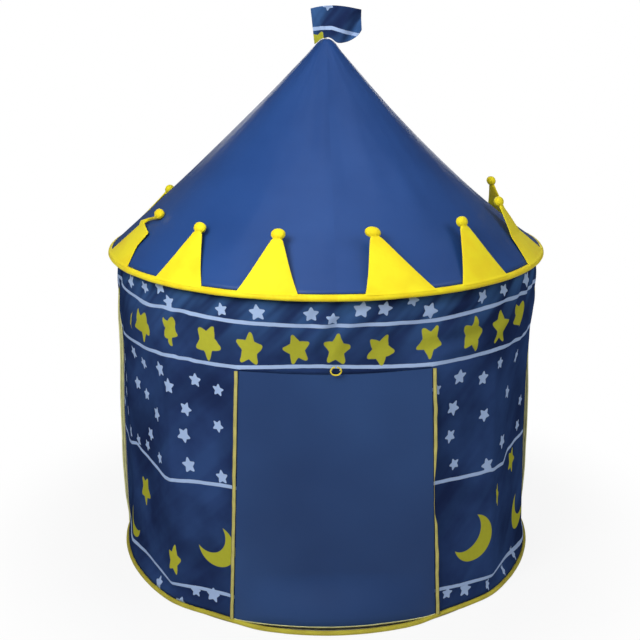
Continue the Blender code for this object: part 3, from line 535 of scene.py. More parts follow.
def plasticFinish(tone, rough=0.36):
    def build():
        place = objectPlace()
        scuffs = cloud(place, 160, 5).ramp(0.55, 0.75)
        return {
            "Base Color": colourMix(scuffs * 0.25, tone, [c * 0.8 for c in tone]),
            "Roughness": scuffs * 0.2 + rough,
            "Normal": bumped(cloud(place, 1400, 2) * 0.00005, 0.6),
            "Specular IOR Level": 0.5,
        }
    return build


blues = dict(
    roof=[(0.013, 0.056, 0.220), (0.020, 0.074, 0.270)],
    door=[(0.018, 0.048, 0.152), (0.032, 0.084, 0.240)],
)
hemTones = [(0.56, 0.50, 0.05), (0.44, 0.37, 0.04), (0.28, 0.22, 0.02)]
paints = dict(
    printed=newMaterial("printedCloth", printFinish()),
    printedInside=newMaterial("printedClothInside", printFinish(0.72)),
    # the flag takes a large share of the painted fold shade and sheen
    flag=newMaterial("flagCloth", printFinish(streaks=0.85)),
    roof=newMaterial("roofCloth", plainFinish(blues["roof"], rough=0.42, shine=0.33)),
    # door: broad patches of lighter and darker blue, random in place and widened to serve as painted sheen and shade
    # on the flap
    door=newMaterial("doorCloth", plainFinish(blues["door"], cloudScale=1.5, shine=0.2)),
    crown=newMaterial("crownCloth", crownFinish),
    band=newMaterial("crownBandCloth", sleeveFinish([yellow["bright"], yellow["shade"], yellow["seam"]], 0.021)),
    hem=newMaterial("hemCloth", sleeveFinish(hemTones, 0.0085)),
    tape=newMaterial("tape", tapeFinish(0.0088, 0.0009)),
    piping=newMaterial("piping", tapeFinish(0.015, 0.0005, tape["lit"])),
    steel=newMaterial("springSteel", steelFinish),
    pole=newMaterial("poleWhite", plasticFinish((0.78, 0.78, 0.75))),
    fitting=newMaterial("fittingWhite", plasticFinish((0.70, 0.70, 0.68), rough=0.42)),
)


# Door loop, the one cord, comes first

print("scene: door loop")

loop = dict(radius=0.0090, cord=0.0016, widen=1.25, opening=24.0)
door = dict(
    jambTopHalf=0.205, jambFootHalf=0.230, jambIn=0.002773, out=0.0015, header=0.185, seamRise=0.015,
    sideGap=0.0015, hemHeight=0.0128, slats=12, shrink=0.0024,
)
jambDepth = math.sqrt(tent["hoop"] ** 2 - door["jambFootHalf"] ** 2) - door["jambIn"]
seamHeight = tent["eave"] - door["header"]
hingeDepth = jambDepth + door["out"] + tent["cloth"] / 2
headerDepth = jambDepth + door["out"] + 1.25 * tent["cloth"]


def makeLoop():
    low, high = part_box("door_loop")
    middle = Vector(((low[0] + high[0]) / 2, (low[1] + high[1]) / 2, (low[2] + high[2]) / 2))
    data = bpy.data.curves.new("doorLoop", "CURVE")
    data.dimensions, data.bevel_depth, data.bevel_resolution = "3D", loop["cord"], 4
    data.use_fill_caps = True
    spline = data.splines.new("POLY")
    count = 48
    spline.points.add(count)
    for i, place in enumerate(spline.points):
        turn = math.radians(mix(90 + loop["opening"] / 2, 450 - loop["opening"] / 2, i / count))
        x = loop["radius"] * loop["widen"] * math.cos(turn)
        z = loop["radius"] * math.sin(turn)
        place.co = (middle.x + x, middle.y, middle.z + z, 1)
    made = bpy.data.objects.new("doorLoop", data)
    bpy.context.scene.collection.objects.link(made)
    data.materials.append(newMaterial("loopCord", cordFinish))
    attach(made, "door_loop")
    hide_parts("door_loop")


def cordFinish():
    place = objectPlace()
    strands = 2600
    braid = Shade.math("SINE", (place.part("X") + place.part("Z")) * strands)
    cross = Shade.math("SINE", (place.part("X") - place.part("Z")) * strands)
    return {
        "Base Color": colourMix(braid * cross * 0.5 + 0.5, yellow["bright"], yellow["seam"]),
        "Roughness": braid * 0.05 + 0.6,
        "Normal": bumped(braid * cross * 0.0002),
        "Sheen Weight": 0.2,
    }


makeLoop()


# Ground hoop and its sleeve, pushed out by the poles' feet and drawn in beside the doorway

print("scene: hoops and sleeves")

ring = dict(
    steps=540, thick=1.06, wire=0.00175, wireOut=0.0018, lift=0.0006,
    bulge=[  # angle from the door's middle, radius
        (0, 0.5325), (10, 0.5320), (20, 0.5330), (27, 0.5240), (33, 0.5255), (39, 0.5320), (44, 0.5385),
        (50, 0.5355), (60, 0.5320), (72, 0.5300), (90, 0.5290), (110, 0.5290), (126, 0.5325), (135, 0.5365),
        (144, 0.5320), (160, 0.5290), (180, 0.5295)],
)


def ringRadius(angle):
    away = abs(wrapped(angle))
    return sum(steps(abs(away + turn), ring["bulge"]) for turn in (-3, -1.5, 0, 1.5, 3)) / 5


def ringHeight(angle, base):
    return base + 0.0006 * noise.noise(around(angle, 9, 3))


def makeGroundRing():
    turns = [360 * i / ring["steps"] for i in range(ring["steps"])]
    path = [around(turn, ringRadius(turn), ringHeight(turn, tent["hemCentre"] + ring["lift"])) for turn in turns]
    sides = 20
    outline = []
    for k in range(sides):
        a = math.tau * k / sides
        seam = 0.10 if abs(a - math.pi * 0.5) < 0.3 else 0
        outline.append((ring["thick"] * math.cos(a), 0.97 * math.sin(a) + seam))
    radii = [tent["hem"] * (1 + 0.05 * noise.noise(around(turn, 22, 1))) for turn in turns]
    mesh = tube("baseHem", path, radii, closed=True, profile=outline)
    made = addPiece("baseHem", mesh, paints["hem"], "frame")
    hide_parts("base_hem")
    wire = [around(turn, ringRadius(turn) + ring["wireOut"], tent["hemCentre"]) for turn in turns[::3]]
    mesh = tube("baseHoop", wire, ring["wire"], 10, closed=True)
    made = addPiece("baseHoop", mesh, paints["steel"], "frame")
    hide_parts("base_hoop")


def makeCrownBand():
    rows = []
    for i in range(ring["steps"]):
        angle = 360 * i / ring["steps"]
        spot = around(angle, 14, 5)
        grow = 1 + 0.05 * noise.noise(spot)
        drop = 0.0009 * noise.noise(spot * 0.4)
        row = []
        for turn in list(range(122, -91, -11)):
            a = math.radians(turn)
            out = tent["band"] * grow * math.cos(a)
            up = tent["band"] * grow * math.sin(a) * (0.80 if turn < 0 else 1.0)
            row.append(around(angle, tent["hoop"] + out, tent["eave"] + up + drop))
        tail = 0.0012 * noise.noise(spot * 1.7)
        foot = tent["eave"] - 0.80 * tent["band"] + drop
        row.append(around(angle, tent["hoop"] - 0.006, foot - 0.0006 + tail))
        row.append(around(angle, tent["hoop"] - 0.0125, foot - 0.0002 + tail * 0.5))
        rows.append(row)
    rows.append(rows[0])
    mesh = mend(clothGrid("crownBand", rows), join=True, turn=False)
    made = addPiece("crownBand", mesh, paints["band"], "frame")
    thicken(made, 0.001)
    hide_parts("crown_band")


makeGroundRing()
makeCrownBand()


# Wall

print("scene: walls")

wall = dict(
    topIn=0.0130, footIn=0.0015, sag=0.0020, fold=0.0035, foldAngle=30.0, foldLean=0.33,
    hung=0.0052, crumple=0.0046, fine=0.0012, slant=112.0, pull=0.006,
    seamOver=0.0045, rows=96, doorRows=74, sideColumns=78, headerColumns=54, rearColumns=220, thick=0.0008,
    pole=[  # height and radius over a pole
        (0.011, 0.5290), (0.055, 0.5375), (0.12, 0.5340), (0.3125, 0.5240), (0.50, 0.5190), (0.64, 0.5160),
        (0.77, 0.5150)],
    between=[
        (0.011, 0.5270), (0.055, 0.5230), (0.3125, 0.5120), (0.50, 0.5130), (0.64, 0.5140), (0.77, 0.5150)],
)
corners = [
    (45, "pole"), (73, "between"), (90, "plain"), (107, "between"), (135, "pole"), (158, "plain"), (180, "plain"),
]


def plainRadius(angle, height):
    share = (height - tent["wallFoot"]) / (tent["wallTop"] - tent["wallFoot"])
    between = math.cos(math.radians(2 * angle)) ** 2
    phase = math.tau * (angle / wall["foldAngle"] + height / wall["foldLean"])
    fold = wall["fold"] * math.sin(phase) * smooth(share) * smooth(4 * (1 - share))
    sag = wall["sag"] * math.sin(math.pi * min(max(share, 0), 1)) + fold
    return mix(tent["hoop"] - wall["footIn"], tent["hoop"] - wall["topIn"], share) - between * sag


def cornerRadius(kind, height):
    if kind == "plain":
        return mix(tent["hoop"] - wall["footIn"], tent["hoop"] - wall["topIn"], height / tent["wallTop"]) - 0.001
    return steps(height, wall[kind])


def jambHalf(height):
    return mix(door["jambFootHalf"], door["jambTopHalf"], height / (seamHeight + door["seamRise"]))


def chordRadius(angle, height):  # the wall as flat panels between its corners
    away = abs(wrapped(angle))
    half = jambHalf(min(height, seamHeight))
    table = [(math.degrees(math.atan2(half, jambDepth)), math.hypot(half, jambDepth))]
    table += [(place, cornerRadius(kind, height)) for place, kind in corners]
    for (a, ra), (b, rb) in zip(table, table[1:]):
        if away <= b:
            break
    away = min(max(away, a), b)
    low, high = math.radians(away - a), math.radians(b - away)
    return ra * rb * math.sin(low + high) / (ra * math.sin(low) + rb * math.sin(high))


def drapes(angle, height):  # folds that the cloth hangs in, counted inwards
    turn = wrapped(angle)
    top = smooth((height - 0.56) / 0.10) * smooth((tent["wallTop"] - height) / 0.035)
    lean = turn - wall["slant"] * (height - 0.68)
    bend = 24 * rumple(turn / 40, height * 2, 0)
    streaks = math.sin(math.radians((lean + bend) * 42)) * (0.6 + rumple(turn / 9, height * 3, 4))
    low = smooth((0.60 - height) / 0.12) * smooth((height - 0.02) / 0.06)
    broad = rumple(turn / 13, height * 3.1, 8)
    fine = rumple(turn / 4.5, height * 9, 15)
    fine *= wall["fine"]
    return top * (wall["hung"] * streaks + fine) + low * (wall["crumple"] * broad + fine)


def wallRadius(angle, height):
    turn = wrapped(angle)
    plain = plainRadius(angle, height)
    share = smooth((height - 0.008) / 0.045) * smooth((0.66 - height) / 0.16)
    radius = mix(plain, chordRadius(angle, height), share)
    foot = 1 - smooth((height - tent["wallFoot"]) / 0.03)
    radius = mix(radius, ringRadius(angle) - wall["footIn"], foot)
    edges = 1 - bump(abs(turn), 90, 5)
    pull = wall["pull"] * bump(abs(turn), 90, 11) * smooth(height / 0.1) * smooth((0.56 - height) / 0.25)
    return radius - drapes(angle, height) * edges + pull


def headerPoint(side, share):
    seam = seamHeight + tent["gap"] + mix(wall["seamOver"], door["seamRise"], side * side)
    low = Vector((side * door["jambTopHalf"], -mix(headerDepth, jambDepth, side * side), seam))
    height = mix(seam, tent["wallTop"], share)
    angle = side * math.degrees(math.atan2(door["jambTopHalf"], jambDepth))
    place = low.lerp(around(angle, plainRadius(angle, height), height), smooth(share))
    place.z = height
    out = place.xy.normalized() * drapes(angle, height) * smooth(share * 3)
    return place - Vector((out.x, out.y, 0))


def frontPoint(row, side, share):  # between the jamb, at share 0, and the side seam
    if row > wall["doorRows"]:
        jamb = headerPoint(side, (row - wall["doorRows"]) / (wall["rows"] - wall["doorRows"]))
    else:
        top = seamHeight + tent["gap"] + door["seamRise"]
        height = mix(tent["wallFoot"], top, row / wall["doorRows"])
        jamb = Vector((side * jambHalf(height), -jambDepth, height))
    start = math.degrees(math.atan2(abs(jamb.x), -jamb.y))
    angle = mix(start, 90 - math.degrees(tent["gap"] / tent["hoop"]), share)
    drawn = jamb.xy.length - wallRadius(side * start, jamb.z)
    near = 1 - (angle - start) / (45 - start)
    return around(side * angle, wallRadius(side * angle, jamb.z) + drawn * smooth(near), jamb.z)


def placesOf(mesh):  # distance round the tent and height of each vertex
    points = np.empty(len(mesh.vertices) * 3)
    mesh.vertices.foreach_get("co", points)
    x, y, z = points.reshape(-1, 3).T
    turn = np.arctan2(x, -y)
    back = np.abs(turn) > math.radians(130)
    if back.any():
        turn = np.where(turn < 0, turn + math.tau, turn)
    return np.stack([turn * prints["radius"], z], -1)


# The print. Places are read from the photograph as pixels, and rearPrint repeats the rows behind.

stripePixels = [
    [(122, 279), (140, 300), (177, 310), (240, 322), (319, 328), (401, 324), (438, 320), (500, 303), (532, 285)],
    [(122, 325), (148, 349), (181, 358), (239, 368), (300, 372), (337, 373), (380, 372), (437, 364), (500, 348),
     (523, 335)],
    [(129, 440), (137, 443), (151, 460), (165, 477), (200, 482), (232, 487), (435, 483), (460, 478), (490, 470),
     (503, 463), (507, 450), (521, 433)],
    [(132, 535), (150, 556), (172, 583), (200, 588), (228, 595), (436, 590), (460, 585), (485, 578), (505, 557),
     (524, 535)],
]
stripeHeights = (0.713, 0.615, 0.3125, 0.055)
lightStars = [
    (119, 282), (131, 281), (145, 287), (160, 286), (169, 302), (222, 309), (257, 313), (311, 315), (333, 320),
    (362, 310), (385, 309), (413, 300), (430, 311), (483, 297), (504, 290), (526, 279),
    (134, 352), (144, 363), (160, 369), (138, 383), (147, 394), (168, 386), (195, 380), (218, 390), (157, 414),
    (186, 409), (218, 426), (184, 435), (151, 434), (148, 445), (131, 431), (139, 440), (160, 458), (189, 465),
    (222, 477),
    (436, 390), (460, 377), (483, 378), (500, 363), (516, 356, 0.6), (507, 392), (520, 400), (453, 408), (484, 415),
    (517, 425), (502, 441), (450, 436), (454, 464), (487, 465),
    (159, 583, 0.8), (196, 591), (213, 595), (181, 603), (447, 593), (465, 589), (487, 584, 0.4), (503, 570, 0.5),
    (513, 553, 0.5),
]
goldStars = [  # with each star's size, its turn in degrees and how narrow it is
    (131, 320, 0.024, 20, 0.3), (143, 325, 0.047, 180, 0.85), (171, 330, 0.042, 170, 0.75),
    (207, 342, 0.047, 174, 0.82), (248, 350, 0.046, 8, 0.75), (295, 353, 0.043, -14, 0.84),
    (338, 355, 0.046, 5, 0.80), (383, 353, 0.044, 24, 0.84), (431, 342, 0.047, 178, 0.76),
    (472, 334, 0.048, 14, 0.80), (502, 328, 0.047, 4, 0.80), (521, 316, 0.045, 178, 0.85),
    (146, 490, 0.044, 170, 0.85), (174, 560, 0.046, 12, 0.50), (511, 460, 0.038, 170, 0.9),
    (497, 495, 0.034, 15, 0.30),
]
moons = [(217, 546, 0.051, 4), (473, 538, 0.057, -3), (135, 521, 0.040, 84), (517, 508, 0.052, 84)]


def spread(angle):  # distance round the print's ring
    return math.radians(angle) * prints["radius"]


def onCloth(px, py):  # the print's measure of the point under a pixel
    angle, height = onRound(px, py, wallRadius)
    return spread(angle), height


def lightSize(k):  # three sizes in turn
    return 0.0215 - 0.0022 * (k % 3)


def makePrint():
    motifs, lines = [], []
    for k, (px, py, *narrow) in enumerate(lightStars):
        motifs.append((*onCloth(px, py), lightSize(k), (k * 77) % 72 - 36, 1, *narrow))
    for px, py, size, turn, narrow in goldStars:
        motifs.append((*onCloth(px, py), size, turn, 2, narrow))
    for px, py, size, turn in moons:
        motifs.append((*onCloth(px, py), size, turn, 3))
    for pixels, middle in zip(stripePixels, stripeHeights):
        knots = sorted(onRound(px, py, wallRadius) for px, py in pixels)
        ends = [(-100, middle), *knots, (100, middle)]
        xs, ys = zip(*ends)
        lines.append((np.radians(xs) * prints["radius"], np.array(ys)))
    return motifs, lines


def stripeLine(xs, ys):
    return lambda place: np.interp(place, xs, ys)


def rearPrint():
    motifs = []
    width, start = spread(180), spread(90)

    def spaced(count):
        return [(k, start + width * (k + 0.5) / count) for k in range(count)]

    for k, at in spaced(18):
        motifs.append((at, 0.664 + 0.004 * math.sin(k * 2.1), 0.0460, (k * 151) % 360, 2, 0.82))
    for k, at in spaced(30):
        at += 0.012 * math.sin(k * 1.7)
        motifs.append((at, 0.738 + 0.010 * math.sin(k * 2.3), 0.0175, (k * 77) % 72, 1))
    for row in range(5):
        for k in range(19):
            at = start + width * (k + 0.3 + 0.5 * (row % 2)) / 19 + 0.012 * math.sin(k * 3.1 + row)
            height = 0.362 + 0.051 * row + 0.010 * math.sin(k * 2.7 + 1.3 * row)
            motifs.append((at, height, lightSize(k) - 0.0003, (k * 53 + row * 31) % 72, 1))
    for k, at in spaced(7):
        motifs.append((at, 0.125, 0.052, (k * 37) % 24 - 12, 3))
        motifs.append((at + 0.085, 0.205 + 0.02 * math.sin(k * 2.0), 0.0440, (k * 101) % 360, 2, 0.85))
        motifs.append((at - 0.045, 0.245 + 0.02 * math.sin(k * 1.3), 0.0420, (k * 67) % 360, 2, 0.85))
    for k, at in spaced(26):
        at += 0.01 * math.sin(k * 2.9)
        motifs.append((at, 0.043 - 0.012 * (k % 3 == 0), 0.0165, (k * 29) % 72, 1))
    return motifs


def sideFill():  # motifs between what the camera sees and the side seams
    motifs = []
    for side in (-1, 1):
        for angle in (80, 88):
            motifs.append((side * spread(angle), 0.664, 0.0460, 40 * angle, 2, 0.82))
            motifs.append((side * spread(angle + 3), 0.738, 0.0175, 13 * angle, 1))
            for row in range(5):
                place = side * spread(angle + 2 * (row % 2))
                motifs.append((place, 0.37 + 0.045 * row, 0.0175, 31 * row, 1))
    return motifs


def soften(rows):  # rounds the wall off beside the door's upper corners
    places = (wall["sideColumns"], wall["sideColumns"] + wall["headerColumns"])
    share = [max(bump(i, place, 22) for place in places) for i in range(len(rows[0]))]
    for number in range(wall["doorRows"] - 10, wall["rows"] + 1):
        row = rows[number]
        radii = [point.xy.length for point in row]
        high = smooth((number - wall["doorRows"]) / 6)
        for _ in range(60):
            near = [0.0] + [(a + c) / 2 - b for a, b, c in zip(radii, radii[1:], radii[2:])] + [0.0]
            radii = [radius + 0.5 * high * weight * pull for radius, weight, pull in zip(radii, share, near)]
        for point, radius in zip(row, radii):
            scale = radius / point.xy.length
            point.x, point.y = point.x * scale, point.y * scale


def makeWall(name, node, mesh, motifs, lines):
    printOn(mesh, placesOf(mesh), motifs, lines)
    made = addPiece(name, mesh, paints["printed"], "frame")
    thicken(made, wall["thick"], paints["printedInside"])
    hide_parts(node)
    return made


def makeFrontWall():
    motifs, lines = makePrint()
    columns, header = wall["sideColumns"], wall["headerColumns"]
    rows = []
    for row in range(wall["rows"] + 1):
        left = [frontPoint(row, -1, 1 - i / columns) for i in range(columns + 1)]
        right = [frontPoint(row, 1, i / columns) for i in range(columns + 1)]
        share = max(row - wall["doorRows"], 0) / (wall["rows"] - wall["doorRows"])
        if row < wall["doorRows"]:
            middle = [left[-1].lerp(right[0], i / header) for i in range(1, header)]
        else:
            middle = [headerPoint(mix(-1, 1, i / header), share) for i in range(1, header)]
        rows.append(left + middle + right)
    soften(rows)
    keep = np.ones((wall["rows"], len(rows[0]) - 1), bool)
    keep[:wall["doorRows"], columns:columns + header] = False  # the doorway
    mesh = clothGrid("frontWall", rows, keep=keep)
    front = [stripeLine(xs, ys) for xs, ys in lines]
    return makeWall("frontWall", "front_wall", mesh, motifs + sideFill(), front)


def rearLine(middle):
    def line(place):
        wave = 0.003 * np.sin(place * 23 + middle * 50) + 0.002 * np.sin(place * 41)
        ends = np.clip((np.minimum(place - math.pi * 0.26, math.pi * 0.78 - place)) / 0.05, 0, 1)
        return middle + wave * ends
    return line


def makeRearWall():
    edge = math.degrees(tent["gap"] / tent["hoop"])
    angles = [mix(90 + edge, 270 - edge, i / wall["rearColumns"]) for i in range(wall["rearColumns"] + 1)]
    heights = [mix(tent["wallFoot"], tent["wallTop"], row / wall["rows"]) for row in range(wall["rows"] + 1)]
    mesh = clothGrid("rearWall", [[around(angle, wallRadius(angle, z), z) for angle in angles] for z in heights])
    return makeWall("rearWall", "rear_wall", mesh, rearPrint(), [rearLine(middle) for middle in stripeHeights])


frontWall = makeFrontWall()
rearWall = makeRearWall()


# Tapes beside the doorway and piping over the side seams

print("scene: tapes and piping")

edging = dict(
    width=0.0088, inset=0.0010, thick=0.0018, wave=0.0011, steps=110,
    rightShare=[  # height and how much of the width shows
        (0.0, 1.0), (0.17, 1.0), (0.24, 0.75), (0.265, 0.12), (0.345, 0.10), (0.375, 0.55), (0.42, 1.0), (0.7, 1.0)],
    leftShare=[(0.0, 0.95), (0.7, 1.0)],
    profile=[  # across the tape and out from the wall
        (0, 0), (0, 0.55), (0.06, 0.85), (0.2, 0.95), (0.5, 1.0), (0.8, 0.95), (0.94, 0.85), (1, 0.55), (1, 0)],
    pipeWidth=0.0050, web=0.0006, reach=0.0105,
)


def makeJambTape(name, side, node, shares):
    rows = []
    front = jambDepth + tent["cloth"] / 2 + tent["gap"]
    top = seamHeight + door["seamRise"] - tent["gap"]
    for i in range(edging["steps"] + 1):
        height = mix(tent["wallFoot"], top, i / edging["steps"])
        width = edging["width"] * steps(height, shares) * (1 + 0.10 * rumple(side, 3, height * 22))
        inner = jambHalf(height) + edging["inset"] + edging["wave"] * rumple(side * 5, 1, height * 9)
        inner += 0.0008 * rumple(side * 5, 7, height * 40)
        ends = smooth(i / 6) * smooth((edging["steps"] - i) / 6)
        inner = mix(jambHalf(height) + edging["inset"], inner, ends)
        row = []
        for u, lift in edging["profile"]:
            row.append(Vector((side * (inner + u * width), -front - lift * edging["thick"], height)))
        rows.append(row)
    mesh = clothGrid(name, rows)
    across = [u * edging["width"] for u, lift in edging["profile"]]
    layOut(mesh, lambda number, point: (across[number % len(across)], point.z))
    made = addPiece(name, mesh, paints["tape"], "frame")
    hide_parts(node)
    return made


def makeSidePiping(name, side, node):
    web, cord = edging["web"], edging["pipeWidth"] / 2
    rows = []
    for i in range(91):
        height = mix(tent["wallFoot"] + 0.001, tent["wallTop"] - 0.001, i / 90)
        share = mix(0.45, 1.0, smooth(4 * i / 90) * smooth(4 * (1 - i / 90)))
        grow = cord * (1 + 0.12 * rumple(side, 9, height * 18))
        middle = edging["reach"] * share - cord + 0.0010 * rumple(side * 8, 2, height * 12)
        root = wallRadius(side * 90, height) + wall["thick"] / 2 + tent["gap"]
        outline = [(-web, 0.0), (-web, max(middle - grow * 1.05, 0.0002))]
        outline += [(grow * math.sin(a), middle - grow * math.cos(a)) for a in np.radians(range(-160, 161, 20))]
        outline += [(web, max(middle - grow * 1.05, 0.0002)), (web, 0.0)]
        row = []
        for across, out in outline:
            point = around(side * 90, root + out, height)
            point.y += across
            row.append(point)
        rows.append(row)
    made = addPiece(name, clothGrid(name, rows, closed=True), paints["piping"], "frame")
    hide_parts(node)
    return made


tapes = [makeJambTape("leftJambTape", -1, "left_jamb_tape", edging["leftShare"]),
         makeJambTape("rightJambTape", 1, "right_jamb_tape", edging["rightShare"])]
pipings = [makeSidePiping("leftSidePiping", -1, "left_side_piping"),
           makeSidePiping("rightSidePiping", 1, "right_side_piping")]


# Roof

print("scene: roof")

roof = dict(
    footIn=0.0018, tip=0.0262, rise=0.4795, neck=0.0058, neckRise=0.0105, point=0.0150,
    sag=(0.013, 0.024, 0.013, 0.009),  # front, right, back and left
    broad=0.0030, fine=0.0009, gathers=0.0012,
    ridges=[  # height, angle, half its width, slant, place up the roof and reach
        (0.0025, 26, 7, 8, 0.32, 0.3), (0.0022, -29, 8, 10, 0.28, 0.25), (0.0035, -3, 9, 0, 0.55, 0.6)],
    columns=360, rows=64, thick=0.0008,
)
roof["foot"] = tent["hoop"] - roof["footIn"]
roof["footHeight"] = tent["eave"] + tent["band"] + tent["cloth"] / 2 + 2 * tent["gap"]
roof["tipHeight"] = tent["eave"] + roof["rise"]
roof["slope"] = math.atan2(roof["tipHeight"] - roof["footHeight"], roof["foot"] - roof["tip"])


def roofFolds(angle, share):  # counted inwards, along the cloth's normal
    turn = wrapped(angle)
    soft = smooth(share / 0.08) * smooth((1 - share) / 0.12)
    broad = rumple(turn / 24, share * 1.6, 3) * roof["broad"]
    fine = rumple(turn / 7, share * 5, 11) * roof["fine"]
    folds = broad + fine
    for height, angle, width, slant, place, reach in roof["ridges"]:
        folds -= height * bump(turn - slant * share, angle, width) * bump(share, place, reach)
    tip = roof["gathers"] * math.sin(math.radians(turn * 11)) * smooth((share - 0.8) / 0.2) * (1 - share) * 6
    return (folds + tip) * soft


def roofPoint(angle, share):
    quarter = round(angle / 90) % 4
    sag = roof["sag"][quarter] * math.cos(math.radians(2 * angle)) ** 2 * math.sin(math.pi * min(share, 1)) ** 0.8
    sag += roofFolds(angle, share)
    radius = mix(roof["foot"], roof["tip"], share) - sag * math.sin(roof["slope"])
    height = mix(roof["footHeight"], roof["tipHeight"], share) - sag * math.cos(roof["slope"])
    return around(angle, radius, height)


def makeRoof():
    angles = [360 * i / roof["columns"] for i in range(roof["columns"])]
    rows = [[roofPoint(angle, row / roof["rows"]) for angle in angles] for row in range(roof["rows"] + 1)]
    for share in (0.2, 0.4, 0.6, 0.8, 1.0):
        radius = mix(roof["tip"], roof["neck"], share)
        height = roof["tipHeight"] + roof["point"] * (1 - (1 - share) ** 1.6)
        rows.append([around(angle, radius + 0.0004 * math.sin(math.radians(9 * angle)), height) for angle in angles])
    made = addPiece("roofCanopy", clothGrid("roofCanopy", rows, closed=True), paints["roof"], "frame")
    thicken(made, roof["thick"])
    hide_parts("roof_canopy")
    slant = math.hypot(roof["foot"] - roof["tip"], roof["tipHeight"] - roof["footHeight"])
    math.pi * (roof["foot"] + roof["tip"]) * slant


makeRoof()


# Crown points, each with a stuffed ball at its tip

print("scene: crown")

crown = dict(
    width=0.134, length=0.122, neck=0.0052, tip=0.0115, ball=0.0160, ballThick=0.0110, ballHeight=0.024,
    seamOut=0.0010, lift=0.0012, crease=(0.3, 0.7), flare=0.05, outer=0.0032, inner=0.0013,
    fold=dict(start=0.70, sway=0.030, back=0.028),
    right=[  # place round the tent, width, length, sway, slope, added slope
        (0.080, 1.13, 1.03, -0.24, 51.0, 0.0), (0.210, 1.04, 1.02, 0.02, 54.5, 0.0),
        (0.372, 1.34, 1.20, -0.03, 43.5, 15.0), (0.617, 1.06, 0.94, 0.05, 62.0, 12.0),
        (0.783, 1.00, 1.00, 0.06, 53.0, 2.0), (0.928, 0.96, 1.00, -0.04, 54.0, 0.0)],
    left=[
        (0.928, 0.96, 1.00, 0.04, 52.0, 3.0), (0.783, 1.00, 1.00, -0.05, 54.0, 0.0),
        (0.617, 1.06, 1.11, 0.05, 44.8, 2.4), (0.386, 1.34, 1.07, 0.00, 45.5, -1.0),
        (0.217, 1.00, 0.97, -0.04, 51.0, 0.0), (0.087, 0.96, 0.97, 0.03, 53.0, 0.0)],
    folded=10, rows=25, sides=32, wave=0.0012,
    seat=(-0.0004, 0.0003),  # out from the seam's line, at the seam and further up
    root=[(0.0022, 0.0004, 1.012), (0.0046, 0.0026, 1.03), (0.0064, 0.0058, 1.045)],  # out, down, wider
)


def crownSpine(distance, length, slope, added):
    first = Vector((0, math.cos(math.radians(slope)), math.sin(math.radians(slope))))
    second = Vector((0, math.cos(math.radians(slope + added)), math.sin(math.radians(slope + added))))
    share = smooth((distance / length - crown["crease"][0]) / (crown["crease"][1] - crown["crease"][0]))
    middle = first * min(distance, length / 2) + second * max(distance - length / 2, 0)
    return middle, first.lerp(second, share).normalized()


def crownStations(width, length, sway, folded, ball):  # (distance, half width, outer, inner, aside)
    table = []
    for i in range(11):
        share = i / 10
        hollow = crown["flare"] * math.sin(math.pi * share)
        across = mix(width / 2, crown["tip"], min(share + hollow * (1 - share), 1))
        table.append((share * length, across, crown["outer"], crown["inner"], sway * length * share))
    if folded:
        fold = crown["fold"]
        across = mix(width / 2, crown["neck"], 0.50)
        table = [row for row in table if row[0] < 0.7 * fold["start"] * length]
        table += [
            (fold["start"] * length, across, 0.0028, 0.0013, 0.010),
            ((fold["start"] + 0.1) * length, 0.35 * across, 0.0030, 0.0020, -fold["sway"]),
            ((fold["start"] + 0.2) * length, crown["neck"], 0.0044, 0.0034, mix(-fold["sway"], fold["back"], 0.4)),
            (length, crown["neck"], 0.0046, 0.0038, fold["back"]),
        ]
    last = table[-1][4]
    table[-1] = (*table[-1][:2], 0.0042, 0.0036, last)
    for share in (0.05, 0.12, 0.22, 0.36, 0.52, 0.66, 0.79, 0.89, 0.96, 0.995):
        turn = math.acos(1 - 2 * share)
        grow = math.sin(turn) ** 0.85
        across = max(ball * crown["ball"] * grow, crown["neck"] if share < 0.1 else 0.0008)
        thick = max(crown["ballThick"] * grow, 0.0040 if share < 0.1 else 0.0008)
        rise = share * crown["ballHeight"]
        table.append((length + rise, across, thick, thick, last + sway * share * crown["ballHeight"]))
    return table


